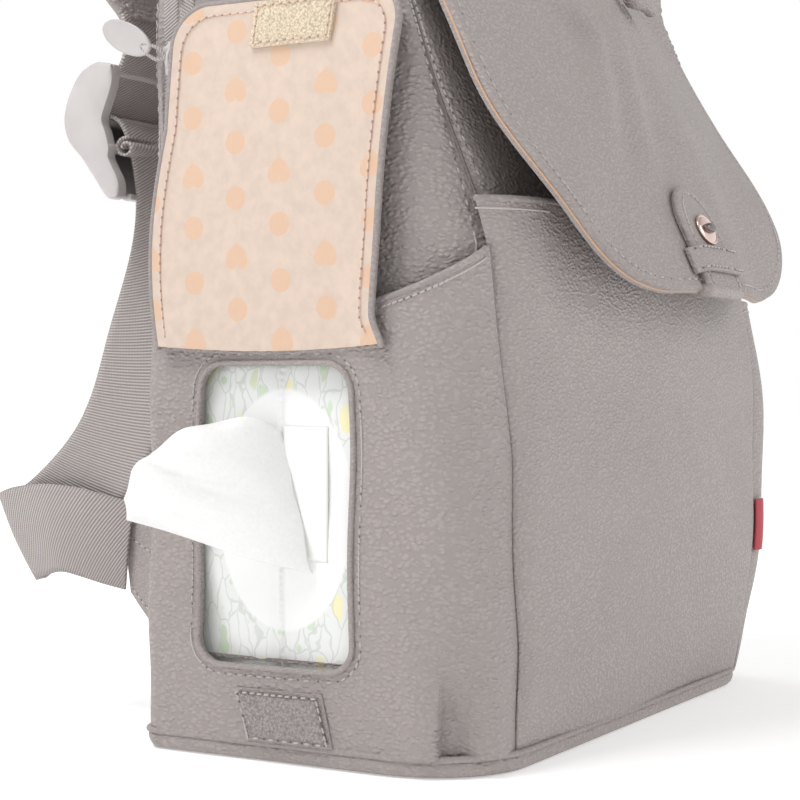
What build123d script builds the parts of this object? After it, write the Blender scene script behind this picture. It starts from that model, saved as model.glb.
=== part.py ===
"""Convertible diaper backpack as an assembly of separate pieces.

Frame: origin at the centre of the base's resting face, +Z up, front towards -Y,
the wipes window on the -X side. Millimetres.
"""

from build123d import *
import math
import os

# ---- driving dimensions ----
BODY_WIDTH = 292.0          # across the two side gussets
BODY_DEPTH = 144.0          # back panel to front panel, outside
BODY_HEIGHT = 345.0         # to the top of the zip facings
CORNER_RADIUS = 35.0        # rounded upright corners
WALL = 3.0                  # leather with its backing
YOKE_BEND_HEIGHT = 212.0    # where the front starts to lean back
YOKE_LEAN = 42.0            # how far back the front's top edge stands
SHADOW_GAP = 1.0            # clearance between sewn layers
MOVING_GAP = 0.5            # least clearance beside a moving piece

BASE_SHEET = 3.0
BASE_BAND = 7.0             # height of the binding round the base
PIPING = 2.0

FRONT_POCKET_ROOM = 11.0
FRONT_POCKET_HEIGHT = 206.0
HEM_HEIGHT = 8.0
HEM_THICKNESS = 1.2
TAG_LENGTH = 10.0
TAG_HEIGHT = 26.0
TAG_BOTTOM = 66.0
TAG_THICKNESS = 1.3
TAG_SETBACK = 0.5

WINDOW_WIDTH = 70.0
WINDOW_HEIGHT = 117.0
WINDOW_CENTRE_Y = 9.0
WINDOW_BOTTOM = 40.0
WINDOW_RADIUS = 10.0
RIM_WIDTH = 4.0
RIM_THICKNESS = 1.2
SIDE_POCKET_HEIGHT = 176.0
SIDE_POCKET_PEAK = 196.0
SIDE_POCKET_BACK_Y = 66.0
SIDE_POCKET_DIP_Y = -37.0
SLEEVE_WALL = 1.5
SLEEVE_DEPTH = 25.0
SLEEVE_EASE = 8.0           # sleeve wider than the window
CUT_REACH = 20.0            # how far a cutter passes the face it cuts
PACK_CLEARANCE = 0.5
PATCH_LENGTH = 38.0
PATCH_HEIGHT = 18.0
PATCH_THICKNESS = 1.5
PATCH_BOTTOM = 12.0
PATCH_CENTRE_Y = 6.0

BOTTLE_POCKET_WIDTH = 95.0
BOTTLE_POCKET_ROOM = 9.0
BOTTLE_POCKET_HEIGHT = 188.0

WIPES_FLAP_WIDTH = 107.0
WIPES_FLAP_LENGTH = 135.0
WIPES_FLAP_CENTRE_Y = 14.5
WIPES_FLAP_LEATHER = 2.0
WIPES_FLAP_LINING = 1.4
WIPES_HINGE_HEIGHT = 160.0
WIPES_HINGE_OUT = 6.0       # hinge line outside the pocket face
HOOK_LENGTH = 36.0
HOOK_HEIGHT = 19.0

WIPE_SHEET_WIDTH = 60.0
WIPE_SHEET_LENGTH = 36.0
WIPE_SHEET_THICKNESS = 2.0
WIPE_SHEET_HEIGHT = 108.0
WIPE_SHEET_RISE = 30.0      # degrees above level at rest

FLAP_WIDTH = 284.0
FLAP_LEATHER = 2.4
FLAP_LINING = 1.4
FLAP_HINGE_Y = 66.0
FLAP_STAND_OFF = 2.6        # flap above the zip facings
FLAP_BROW_Y = -38.0         # where the flap turns down
FLAP_TIP_Y = -114.0
FLAP_TIP_Z = 181.0
FLAP_TIP_RADIUS = 95.0
FLAP_BEND_RADIUS = 18.0
TAB_WIDTH = 42.0
TAB_LENGTH = 66.0
TAB_THICKNESS = 2.2
KEEPER_HEIGHT = 11.0
KEEPER_OVERHANG = 10.0      # keeper wider than the tab
KEEPER_THICKNESS = 1.6
PLATE_WIDTH = 15.0
PLATE_LENGTH = 22.0
PLATE_THICKNESS = 1.6
TOGGLE_LENGTH = 17.0
TOGGLE_DIAMETER = 9.0
TOGGLE_SPACING = 112.0
MAGNET_DIAMETER = 18.0
MAGNET_THICKNESS = 2.0

ZIP_CENTRE_Y = 58.0
ZIP_TAPE_WIDTH = 6.0
ZIP_TAPE_THICKNESS = 1.0
ZIP_COIL_WIDTH = 5.0
ZIP_COIL_THICKNESS = 1.8
ZIP_END_HEIGHT = 250.0
SLIDER_HEIGHT = 276.0
SLIDER_LENGTH = 14.0
SLIDER_WIDTH = 10.0
SLIDER_THICKNESS = 4.0
PULLER_LENGTH = 24.0
PULLER_WIDTH = 12.0
PULLER_THICKNESS = 1.7

STRAP_X = 105.0
PAD_WIDTH = 50.0
PAD_THICKNESS = 9.0
PAD_TOP = 395.0
PAD_END = 300.0
PAD_FRONT_Y = 94.0
PAD_BACK_Y = 122.0
WEBBING_WIDTH = 38.0
WEBBING_THICKNESS = 2.0
LOCK_WIDTH = 48.0
LOCK_HEIGHT = 50.0
LOCK_THICKNESS = 9.0
LOCK_SLOT = 6.0
STRAP_ANCHOR_HEIGHT = 330.0
WING_TIP_Y = 110.0
WING_TIP_HEIGHT = 78.0
WING_TIP_HALF = 17.0
WING_ROOT_LOW = 22.0
WING_ROOT_HIGH = 88.0
UPPER_WEB_SHOWN = 14.0      # webbing between pad and lock
TAIL_ROLL = 5.0
TAIL_BELOW_LOCK = 12.0
FOLD_Y = 178.0
FOLD_HEIGHT = 82.0

HANDLE_SPAN = 110.0
HANDLE_RISE = 42.0
HANDLE_THICKNESS = 8.0
HANDLE_WIDTH = 16.0
HANDLE_PIVOT_HEIGHT = 330.0
HANDLE_Y = 84.0
HANDLE_FOOT = 20.0
HANDLE_FOOT_HEIGHT = 10.0
BACK_PAD_WIDTH = 136.0
BACK_PAD_THICKNESS = 8.0
BACK_PAD_BOTTOM = 34.0
BACK_PAD_TOP = 304.0
BACK_PAD_CORNER = 20.0

# ---- sizes that follow ----
HALF_W = BODY_WIDTH / 2
HALF_D = BODY_DEPTH / 2
FLOOR_Z = BASE_SHEET + BASE_BAND
POCKET_OUT_X = HALF_W + SHADOW_GAP + WALL
FRONT_POCKET_Y = -(HALF_D + FRONT_POCKET_ROOM + WALL)
FLAT_HALF_W = HALF_W - CORNER_RADIUS
WINDOW_TOP = WINDOW_BOTTOM + WINDOW_HEIGHT
WIPES_HINGE_X = -(POCKET_OUT_X + WIPES_HINGE_OUT)


def block(x0, x1, y0, y1, z0, z1):
    """A box between two corners."""
    size = (abs(x1 - x0), abs(y1 - y0), abs(z1 - z0))
    centre = ((x0 + x1) / 2, (y0 + y1) / 2, (z0 + z1) / 2)
    return Pos(*centre) * Box(*size)


def side_sheet(points, x0, x1):
    """A sheet with an outline in the YZ plane, thick from x0 to x1."""
    face = make_face(Polyline(*points, close=True))
    flat = Plane(origin=(x0, 0, 0), x_dir=(0, 1, 0), z_dir=(1, 0, 0)) * face
    return extrude(flat, amount=x1 - x0, dir=(1, 0, 0))


def rounded_block(width, depth, radius, z0, z1, centre_y=0.0):
    """An upright block with rounded upright corners."""
    return Pos(0, centre_y, z0) * extrude(RectangleRounded(width, depth, radius), z1 - z0)


def upright_tube(width, depth, radius, wall, z0, z1, centre_y=0.0):
    """A rounded upright tube open at both ends."""
    outer = rounded_block(width, depth, radius, z0, z1, centre_y)
    inner = rounded_block(width - 2 * wall, depth - 2 * wall, radius - wall, z0 - 1, z1 + 1, centre_y)
    return outer - inner


def window_block(width, height, radius, x0, x1):
    """A rounded rectangle on the wipes side, centred on the window."""
    middle = (x0, WINDOW_CENTRE_Y, (WINDOW_BOTTOM + WINDOW_TOP) / 2)
    flat = Plane(origin=middle, x_dir=(0, 1, 0), z_dir=(1, 0, 0))
    return extrude(flat * RectangleRounded(width, height, radius), amount=x1 - x0, dir=(1, 0, 0))


def base_parts():
    """Base sheet, stiffener, binding and piping."""
    width = 2 * POCKET_OUT_X
    depth = HALF_D - FRONT_POCKET_Y
    mid_y = (HALF_D + FRONT_POCKET_Y) / 2
    top = FLOOR_Z
    sheet = rounded_block(width, depth, CORNER_RADIUS, 0, BASE_SHEET, mid_y)
    band = upright_tube(width, depth, CORNER_RADIUS, WALL, BASE_SHEET, top, mid_y)
    board = rounded_block(
        width - 2 * WALL, depth - 2 * WALL, CORNER_RADIUS - WALL, BASE_SHEET, top, mid_y
    )
    bead = upright_tube(
        width + PIPING, depth + PIPING, CORNER_RADIUS + PIPING / 2, PIPING / 2, top - PIPING, top, mid_y
    )
    return {"base_sheet": sheet, "base_binding": band, "base_board": board, "base_piping": bead}


def body_cutters():
    """Blocks that divide the body tube into its panels."""
    far = 2 * BODY_WIDTH
    left = block(-far, -FLAT_HALF_W, -far, far, 0, far)
    right = block(FLAT_HALF_W, far, -far, far, 0, far)
    front = block(-FLAT_HALF_W, FLAT_HALF_W, -far, 0, 0, YOKE_BEND_HEIGHT)
    back = block(-FLAT_HALF_W, FLAT_HALF_W, 0, far, 0, far)
    return left, right, front, back


def side_profile():
    """The body's outline seen from the side, inside the yoke's sheet."""
    top = BODY_HEIGHT
    return [
        (HALF_D, 0),
        (HALF_D, top),
        (-HALF_D + YOKE_LEAN, top),
        (-HALF_D, YOKE_BEND_HEIGHT),
        (-HALF_D, 0),
    ]


def body_parts():
    """Front, yoke, back and the two gussets."""
    left, right, front, back = body_cutters()
    wide = BODY_WIDTH
    tube = upright_tube(BODY_WIDTH, BODY_DEPTH, CORNER_RADIUS, WALL, FLOOR_Z, BODY_HEIGHT)
    tube = tube & side_sheet(side_profile(), -wide, wide)
    sleeve_hole = window_block(
        WINDOW_WIDTH + 2 * SLEEVE_WALL + SLEEVE_EASE + 2 * SHADOW_GAP, WINDOW_HEIGHT + 2 * SLEEVE_WALL,
        SLEEVE_WALL + 1, -wide, -HALF_W + CUT_REACH,
    )
    lean = YOKE_LEAN
    bend = YOKE_BEND_HEIGHT
    yoke_outline = [
        (-HALF_D, bend),
        (-HALF_D + WALL, bend),
        (-HALF_D + WALL + lean, BODY_HEIGHT),
        (-HALF_D + lean, BODY_HEIGHT),
    ]
    inner = HALF_W - WALL
    yoke = side_sheet(yoke_outline, -inner, inner)
    slope = side_sheet(
        [(-HALF_D - 50, bend), (-HALF_D + WALL, bend), (-HALF_D + WALL + lean, BODY_HEIGHT),
         (-HALF_D + lean, BODY_HEIGHT + 50), (-HALF_D - 50, BODY_HEIGHT + 50)], -inner, inner
    )
    return {
        "left_gusset": (tube & left) - sleeve_hole - slope,
        "right_gusset": (tube & right) - slope,
        "front_panel": tube & front,
        "back_panel": tube & back,
        "front_yoke": yoke,
    }


def lining_parts():
    """Cloth lining: one plain sheet on each wall and the floor."""
    cloth = 0.8
    gap = 0.2
    inner = HALF_W - WALL - gap
    flat = FLAT_HALF_W - gap
    back = HALF_D - WALL - gap
    front = -HALF_D + WALL + gap
    side = CORNER_RADIUS
    low = FLOOR_Z + gap
    high = YOKE_BEND_HEIGHT - gap
    tall = BODY_HEIGHT - 2 * WALL
    sheets = [
        block(-flat, flat, front, front + cloth, low, high),
        block(-flat, flat, back - cloth, back, low, tall),
        block(inner - cloth, inner, -HALF_D + WALL + YOKE_LEAN, HALF_D - side, low, tall),
        block(-flat, flat, front + 2 * cloth, back - 2 * cloth, low, low + cloth),
    ]
    return {"lining": Compound(sheets)}


def top_parts():
    """Facings each side of the top zip, tapes, coil and end stops."""
    inner = HALF_W - WALL
    top = BODY_HEIGHT
    inside = rounded_block(
        BODY_WIDTH - 2 * WALL, BODY_DEPTH - 2 * WALL, CORNER_RADIUS - WALL, FLOOR_Z, top
    )
    half_coil = ZIP_COIL_WIDTH / 2
    slot = half_coil + 0.5
    front_facing = block(-inner, inner, -HALF_D + WALL + YOKE_LEAN + 1, ZIP_CENTRE_Y - slot, top - WALL, top)
    back_facing = block(-inner, inner, ZIP_CENTRE_Y + slot, HALF_D - WALL, top - WALL, top)
    tape_out = slot + ZIP_TAPE_WIDTH
    front_facing = front_facing & inside
    back_facing = back_facing & inside
    tapes = []
    for side in (-1, 1):
        near = ZIP_CENTRE_Y + side * slot
        far = ZIP_CENTRE_Y + side * tape_out
        tapes.append(block(-HALF_W, HALF_W, near, far, top, top + ZIP_TAPE_THICKNESS))
    thick = ZIP_TAPE_THICKNESS
    tapes.append(block(
        -HALF_W - thick, -HALF_W, ZIP_CENTRE_Y - slot - ZIP_TAPE_WIDTH, ZIP_CENTRE_Y + slot + ZIP_TAPE_WIDTH,
        ZIP_END_HEIGHT, top,
    ))
    top_coil = block(
        -HALF_W, HALF_W, ZIP_CENTRE_Y - half_coil, ZIP_CENTRE_Y + half_coil, top, top + ZIP_COIL_THICKNESS
    )
    side_coil = block(
        -HALF_W - thick - ZIP_COIL_THICKNESS, -HALF_W - thick,
        ZIP_CENTRE_Y - half_coil, ZIP_CENTRE_Y + half_coil, ZIP_END_HEIGHT + 4, top,
    )
    stop = block(
        -HALF_W - thick - ZIP_COIL_THICKNESS, -HALF_W - thick,
        ZIP_CENTRE_Y - half_coil, ZIP_CENTRE_Y + half_coil, ZIP_END_HEIGHT, ZIP_END_HEIGHT + 3.5,
    )
    return {
        "top_front_facing": front_facing,
        "top_back_facing": back_facing,
        "zip_tapes": Compound(tapes),
        "zip_coil": Compound([top_coil, side_coil]),
        "zip_end_stop": stop,
    }


def zip_slider_parts():
    """Slider on the side coil, its bail and the moulded puller."""
    coil_face = HALF_W + ZIP_TAPE_THICKNESS + ZIP_COIL_THICKNESS
    inner = coil_face + MOVING_GAP
    outer = inner + SLIDER_THICKNESS
    low = SLIDER_HEIGHT - SLIDER_LENGTH / 2
    slider = block(
        -outer, -inner, ZIP_CENTRE_Y - SLIDER_WIDTH / 2, ZIP_CENTRE_Y + SLIDER_WIDTH / 2, low, low + SLIDER_LENGTH
    )
    slider = fillet(slider.edges().filter_by(Axis.X), 2.5)
    puller_in = outer + MOVING_GAP
    start = ZIP_CENTRE_Y + SLIDER_WIDTH / 2 + 6
    flat = Plane(
        origin=(-puller_in - PULLER_THICKNESS, start + PULLER_LENGTH / 2, SLIDER_HEIGHT),
        x_dir=(0, 1, 0), z_dir=(1, 0, 0),
    )
    oval = flat * RectangleRounded(PULLER_LENGTH, PULLER_WIDTH, PULLER_WIDTH / 2 - 0.5)
    puller = extrude(oval, amount=PULLER_THICKNESS, dir=(1, 0, 0))
    loop = block(
        -puller_in - PULLER_THICKNESS, -puller_in,
        ZIP_CENTRE_Y, start, SLIDER_HEIGHT - 1.5, SLIDER_HEIGHT + 1.5,
    )
    return {"zip_slider": slider, "zip_puller": puller, "puller_loop": loop}


def front_pocket_parts():
    """Front pocket: face, its two side gussets, the hem and the side tag."""
    face_in = FRONT_POCKET_Y + WALL
    half = FLAT_HALF_W
    face = block(-half, half, FRONT_POCKET_Y, face_in, FLOOR_Z, FRONT_POCKET_HEIGHT)
    left = block(-half, -half + WALL, face_in, -HALF_D, FLOOR_Z, FRONT_POCKET_HEIGHT - HEM_HEIGHT)
    right = block(half - WALL, half, face_in, -HALF_D, FLOOR_Z, FRONT_POCKET_HEIGHT - HEM_HEIGHT)
    hem = block(
        -half, half, FRONT_POCKET_Y - HEM_THICKNESS, FRONT_POCKET_Y,
        FRONT_POCKET_HEIGHT - HEM_HEIGHT, FRONT_POCKET_HEIGHT,
    )
    tag = block(
        half, half + TAG_LENGTH, FRONT_POCKET_Y + TAG_SETBACK, FRONT_POCKET_Y + TAG_SETBACK + TAG_THICKNESS,
        TAG_BOTTOM, TAG_BOTTOM + TAG_HEIGHT,
    )
    magnet = Plane(
        origin=(0, FRONT_POCKET_Y - HEM_THICKNESS, FRONT_POCKET_HEIGHT - 20), x_dir=(1, 0, 0), z_dir=(0, 1, 0)
    ) * Circle(MAGNET_DIAMETER / 2)
    magnet = extrude(magnet, amount=HEM_THICKNESS, dir=(0, 1, 0))
    magnet = magnet - hem
    return {
        "front_pocket_face": face,
        "front_pocket_gussets": Compound([left, right]),
        "front_pocket_hem": hem,
        "side_tag": tag,
        "pocket_magnet": magnet,
    }


def wipes_pocket_parts():
    """Wipes pocket wrapped round the front corner, with its window and contents."""
    out = POCKET_OUT_X
    radius = CORNER_RADIUS + SHADOW_GAP + WALL
    front = HALF_D + SHADOW_GAP + WALL
    long_depth = 4 * BODY_DEPTH
    tube = upright_tube(
        2 * out, long_depth, radius, WALL, FLOOR_Z, BODY_HEIGHT, long_depth / 2 - front
    )
    outline = [
        (SIDE_POCKET_BACK_Y, FLOOR_Z),
        (SIDE_POCKET_BACK_Y, SIDE_POCKET_HEIGHT),
        (SIDE_POCKET_DIP_Y, SIDE_POCKET_HEIGHT),
        (-front - 1, SIDE_POCKET_PEAK),
        (-front - 1, FLOOR_Z),
    ]
    keep = side_sheet(outline, -out - 1, -FLAT_HALF_W - SHADOW_GAP)
    hole = window_block(WINDOW_WIDTH, WINDOW_HEIGHT, WINDOW_RADIUS, -out - 5, -out + 10)
    panel = (tube & keep) - hole
    rim = window_block(
        WINDOW_WIDTH + 2 * RIM_WIDTH, WINDOW_HEIGHT + 2 * RIM_WIDTH, WINDOW_RADIUS + RIM_WIDTH,
        -out - RIM_THICKNESS, -out,
    ) - hole
    sleeve_out = -(HALF_W + SHADOW_GAP - 0.2)
    sleeve_in = -out + WALL + SLEEVE_DEPTH
    sleeve = window_block(
        WINDOW_WIDTH + 2 * SLEEVE_WALL + SLEEVE_EASE, WINDOW_HEIGHT + 2 * SLEEVE_WALL - 1, SLEEVE_WALL + 1,
        sleeve_out, sleeve_in,
    )
    room = window_block(
        WINDOW_WIDTH + SLEEVE_EASE, WINDOW_HEIGHT - 1, SLEEVE_WALL, sleeve_out - 1, sleeve_in - SLEEVE_WALL
    )
    pack = window_block(
        WINDOW_WIDTH + SLEEVE_EASE - 2 * PACK_CLEARANCE, WINDOW_HEIGHT - 1 - 2 * PACK_CLEARANCE, 6,
        sleeve_out + PACK_CLEARANCE, sleeve_in - SLEEVE_WALL - PACK_CLEARANCE,
    )
    patch = block(
        -out - PATCH_THICKNESS, -out, PATCH_CENTRE_Y - PATCH_LENGTH / 2, PATCH_CENTRE_Y + PATCH_LENGTH / 2,
        PATCH_BOTTOM, PATCH_BOTTOM + PATCH_HEIGHT,
    )
    return {
        "wipes_pocket_panel": panel,
        "window_rim": rim,
        "wipes_sleeve": sleeve - room,
        "wipes_pack": pack,
        "loop_patch": patch,
    }


def wipes_flap_parts():
    """The cover of the window, folded up at rest, hinged along its bottom edge."""
    y0 = WIPES_FLAP_CENTRE_Y - WIPES_FLAP_WIDTH / 2
    y1 = WIPES_FLAP_CENTRE_Y + WIPES_FLAP_WIDTH / 2
    low = WIPES_HINGE_HEIGHT
    high = low + WIPES_FLAP_LENGTH
    inner = WIPES_HINGE_X - MOVING_GAP / 2
    seam = inner - WIPES_FLAP_LEATHER
    outer = seam - WIPES_FLAP_LINING
    leather = block(seam, inner, y0, y1, low, high)
    leather = fillet(leather.edges().filter_by(Axis.X).group_by(Axis.Z)[-1], 14)
    lining = block(outer, seam, y0 + 1, y1 - 1, low + 1, high - 1)
    lining = fillet(lining.edges().filter_by(Axis.X).group_by(Axis.Z)[-1], 13)
    hook = block(
        outer - 1.2, outer, PATCH_CENTRE_Y - HOOK_LENGTH / 2, PATCH_CENTRE_Y + HOOK_LENGTH / 2,
        high - HOOK_HEIGHT - 3, high - 3,
    )
    hem = block(-POCKET_OUT_X - 1.2, -POCKET_OUT_X, y0 + 2, y1 - 4, low + 4, low + 12)
    return {
        "wipes_flap_leather": leather,
        "wipes_flap_lining": lining,
        "hook_strip": hook,
        "wipes_flap_seam_strip": hem,
    }


def wipe_sheet_part():
    """The wipe that stands out of the window."""
    start = (-POCKET_OUT_X - RIM_THICKNESS - 1.2, WINDOW_CENTRE_Y, WIPE_SHEET_HEIGHT)
    sheet = Pos(-WIPE_SHEET_LENGTH / 2, 0, 0) * Box(WIPE_SHEET_LENGTH, WIPE_SHEET_WIDTH, WIPE_SHEET_THICKNESS)
    return {"wipe_sheet": Pos(*start) * Rot(0, WIPE_SHEET_RISE, 0) * sheet}


def bottle_pocket_parts():
    """Open pocket on the far side."""
    half = BOTTLE_POCKET_WIDTH / 2
    inside = HALF_W + BOTTLE_POCKET_ROOM
    top = BOTTLE_POCKET_HEIGHT
    face = block(inside, inside + WALL, -half, half, FLOOR_Z, top)
    front = block(HALF_W, inside, -half, -half + WALL, FLOOR_Z + WALL, top - HEM_HEIGHT)
    back = block(HALF_W, inside, half - WALL, half, FLOOR_Z + WALL, top - HEM_HEIGHT)
    floor = block(HALF_W, inside, -half, half, FLOOR_Z, FLOOR_Z + WALL)
    return {"bottle_pocket_face": face, "bottle_pocket_gussets": Compound([front, back, floor])}


def flap_slope():
    """Angle of the flap's front below level, and its length, in the side view."""
    run = FLAP_BROW_Y - FLAP_TIP_Y
    fall = BODY_HEIGHT + FLAP_STAND_OFF - FLAP_TIP_Z
    return math.degrees(math.atan2(fall, run)), math.hypot(run, fall)


def on_flap_front(distance, out=0.0):
    """Plane on the flap's outer slope: x across, y down the slope, z outwards."""
    angle, length = flap_slope()
    radians = math.radians(angle)
    down = Vector(0, -math.cos(radians), -math.sin(radians))
    outward = Vector(0, -math.sin(radians), math.cos(radians))
    lift = FLAP_LINING + FLAP_LEATHER + out
    origin = Vector(0, FLAP_BROW_Y, BODY_HEIGHT + FLAP_STAND_OFF) + down * distance + outward * lift
    return Plane(origin=origin, x_dir=(-1, 0, 0), z_dir=outward)


def flap_layer(inset, height, thickness):
    """One layer of the flap: bent over the brow, with a round lower edge."""
    angle, length = flap_slope()
    turn = math.radians(angle)
    middle = height + thickness / 2
    low = BODY_HEIGHT + FLAP_STAND_OFF
    reach = middle * math.tan(turn / 2)
    corner = (FLAP_BROW_Y - reach, low + middle)
    fall = length + reach - inset
    tip = (corner[0] - math.cos(turn) * fall, corner[1] - math.sin(turn) * fall)
    path = FilletPolyline((FLAP_HINGE_Y, low + middle), corner, tip, radius=FLAP_BEND_RADIUS + middle)
    half = FLAP_WIDTH / 2 - inset
    section = Plane(origin=(-half, 0, 0), x_dir=(0, 1, 0), z_dir=(1, 0, 0)) * trace(path, line_width=thickness)
    layer = extrude(section, amount=2 * half, dir=(1, 0, 0))
    plane = on_flap_front(0, -3 * FLAP_BEND_RADIUS)
    outline = Pos(0, length / 2) * Rectangle(2 * half, length - 2 * inset)
    rounded = fillet(outline.vertices().group_by(Axis.Y)[-1], FLAP_TIP_RADIUS - inset)
    keep = extrude(plane * rounded, amount=6 * FLAP_BEND_RADIUS, dir=tuple(plane.z_dir))
    top = block(-half, half, FLAP_BROW_Y - FLAP_BEND_RADIUS, FLAP_HINGE_Y, low - 20, low + 20)
    return layer & (keep + top)


def main_flap_parts():
    """Main flap with its lining, tab, keeper, plate, toggles and magnet."""
    length = flap_slope()[1]
    leather = flap_layer(0, FLAP_LINING, FLAP_LEATHER)
    lining = flap_layer(1, 0, FLAP_LINING)
    tab_plane = on_flap_front(length - TAB_LENGTH / 2)
    tab = extrude(
        tab_plane * RectangleRounded(TAB_WIDTH, TAB_LENGTH - 2, TAB_WIDTH / 2 - 1), amount=TAB_THICKNESS
    )
    keeper_plane = on_flap_front(length - KEEPER_HEIGHT, TAB_THICKNESS)
    keeper = extrude(keeper_plane * Rectangle(TAB_WIDTH + KEEPER_OVERHANG, KEEPER_HEIGHT), amount=KEEPER_THICKNESS)
    plate_plane = on_flap_front(length - TAB_LENGTH * 0.55, TAB_THICKNESS)
    plate = extrude(
        plate_plane * RectangleRounded(PLATE_WIDTH, PLATE_LENGTH, PLATE_WIDTH / 2 - 0.5), amount=PLATE_THICKNESS
    )
    turn_plane = on_flap_front(length - TAB_LENGTH * 0.55, TAB_THICKNESS + PLATE_THICKNESS + MOVING_GAP)
    turn = extrude(turn_plane * RectangleRounded(5, 13, 2.2), amount=3.0)
    magnet_plane = on_flap_front(
        length - TAB_LENGTH * 0.55, -FLAP_LEATHER - FLAP_LINING - MAGNET_THICKNESS
    )
    magnet = extrude(magnet_plane * Circle(MAGNET_DIAMETER / 2), amount=MAGNET_THICKNESS)
    rolls = []
    for side in (-1, 1):
        plane = on_flap_front(38, TOGGLE_DIAMETER / 2)
        roll = Pos(side * TOGGLE_SPACING / 2, 0, 0) * Rot(0, 90, 0) * Cylinder(TOGGLE_DIAMETER / 2, TOGGLE_LENGTH)
        rolls.append(plane * roll)
    return {
        "main_flap_leather": leather,
        "main_flap_lining": lining,
        "closure_tab": tab,
        "closure_keeper": keeper,
        "closure_plate": plate,
        "closure_turn_button": turn,
        "flap_magnet": magnet,
        "flap_toggles": Compound(rolls),
    }


def ribbon(start, end, width, x0, x1):
    """A straight ribbon in a plane of constant x, from start to end."""
    along = Vector(0, end[0] - start[0], end[1] - start[1])
    middle = ((start[0] + end[0]) / 2, (start[1] + end[1]) / 2)
    plane = Plane(origin=(x0, *middle), x_dir=along.normalized(), z_dir=(1, 0, 0))
    return extrude(plane * Rectangle(along.length, width), amount=x1 - x0, dir=(1, 0, 0))


def strap_parts(name, side):
    """One shoulder strap: pad, webbing, ladder lock, tail; and its fixed ends."""
    x = side * STRAP_X
    path = FilletPolyline(
        (PAD_FRONT_Y, STRAP_ANCHOR_HEIGHT + 12),
        (PAD_FRONT_Y, PAD_TOP),
        (PAD_BACK_Y, PAD_TOP),
        (PAD_BACK_Y, PAD_END),
        radius=(PAD_BACK_Y - PAD_FRONT_Y) / 2 - 0.5,
    )
    section = trace(path, line_width=PAD_THICKNESS)
    flat = Plane(origin=(x - PAD_WIDTH / 2, 0, 0), x_dir=(0, 1, 0), z_dir=(1, 0, 0)) * section
    pad = extrude(flat, amount=PAD_WIDTH, dir=(1, 0, 0))
    half_web = WEBBING_WIDTH / 2
    half_thick = WEBBING_THICKNESS / 2
    lock_top = PAD_END - UPPER_WEB_SHOWN
    lock_low = lock_top - LOCK_HEIGHT
    y = PAD_BACK_Y
    upper = block(x - half_web, x + half_web, y - half_thick, y + half_thick, lock_top, PAD_END)
    lock = block(
        x - LOCK_WIDTH / 2, x + LOCK_WIDTH / 2, y - LOCK_THICKNESS / 2, y + LOCK_THICKNESS / 2,
        lock_low, lock_top,
    )
    for height in (lock_top - 2 * LOCK_SLOT, lock_low + 2 * LOCK_SLOT):
        lock = lock - block(
            x - half_web - 1, x + half_web + 1, y - LOCK_THICKNESS, y + LOCK_THICKNESS,
            height - LOCK_SLOT / 2, height + LOCK_SLOT / 2,
        )
    down = ribbon((y, lock_low - half_web), (FOLD_Y, FOLD_HEIGHT), WEBBING_WIDTH, x - WEBBING_THICKNESS, x)
    back = ribbon(
        (WING_TIP_Y + 4, WING_TIP_HEIGHT), (FOLD_Y, FOLD_HEIGHT), WEBBING_WIDTH, x, x + WEBBING_THICKNESS
    )
    tail = block(
        x - half_web, x + half_web, y + LOCK_THICKNESS / 2, y + LOCK_THICKNESS / 2 + TAIL_ROLL,
        lock_low - TAIL_BELOW_LOCK, lock_low + LOCK_SLOT,
    )
    wing = side_sheet(
        [
            (HALF_D, WING_ROOT_LOW),
            (HALF_D, WING_ROOT_HIGH),
            (WING_TIP_Y, WING_TIP_HEIGHT + WING_TIP_HALF),
            (WING_TIP_Y, WING_TIP_HEIGHT - WING_TIP_HALF),
        ],
        x - WALL / 2, x + WALL / 2,
    )
    anchor = block(
        x - half_web, x + half_web, HALF_D, PAD_FRONT_Y + 4, STRAP_ANCHOR_HEIGHT - 6, STRAP_ANCHOR_HEIGHT + 4
    )
    moving = {
        name + "_strap_pad": pad,
        name + "_upper_webbing": upper,
        name + "_ladder_lock": lock,
        name + "_lower_webbing": down + back,
        name + "_webbing_tail": tail,
    }
    return moving, wing, anchor


def back_parts():
    """Padded back, grab handle and the handle's anchors."""
    half = BACK_PAD_WIDTH / 2
    pad = block(-half, half, HALF_D, HALF_D + BACK_PAD_THICKNESS, BACK_PAD_BOTTOM, BACK_PAD_TOP)
    pad = fillet(pad.edges().filter_by(Axis.Y), BACK_PAD_CORNER)
    low = HANDLE_PIVOT_HEIGHT + 2
    reach = HANDLE_SPAN / 2
    path = FilletPolyline(
        (-reach, low), (-reach, low + HANDLE_RISE), (reach, low + HANDLE_RISE), (reach, low), radius=20
    )
    section = trace(path, line_width=HANDLE_THICKNESS)
    flat = Plane(origin=(0, HANDLE_Y - HANDLE_WIDTH / 2, 0), x_dir=(1, 0, 0), z_dir=(0, -1, 0)) * section
    handle = extrude(flat, amount=HANDLE_WIDTH, dir=(0, 1, 0))
    anchors = []
    for side in (-1, 1):
        x = side * reach
        foot_y = HANDLE_Y + HANDLE_THICKNESS / 2
        anchors.append(
            block(x - HANDLE_FOOT / 2, x + HANDLE_FOOT / 2, HALF_D, foot_y, low - 2.2 * HANDLE_FOOT_HEIGHT,
                  low - 1.2 * HANDLE_FOOT_HEIGHT)
        )
    return {"back_pad": pad, "grab_handle": handle, "handle_anchors": Compound(anchors)}


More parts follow.
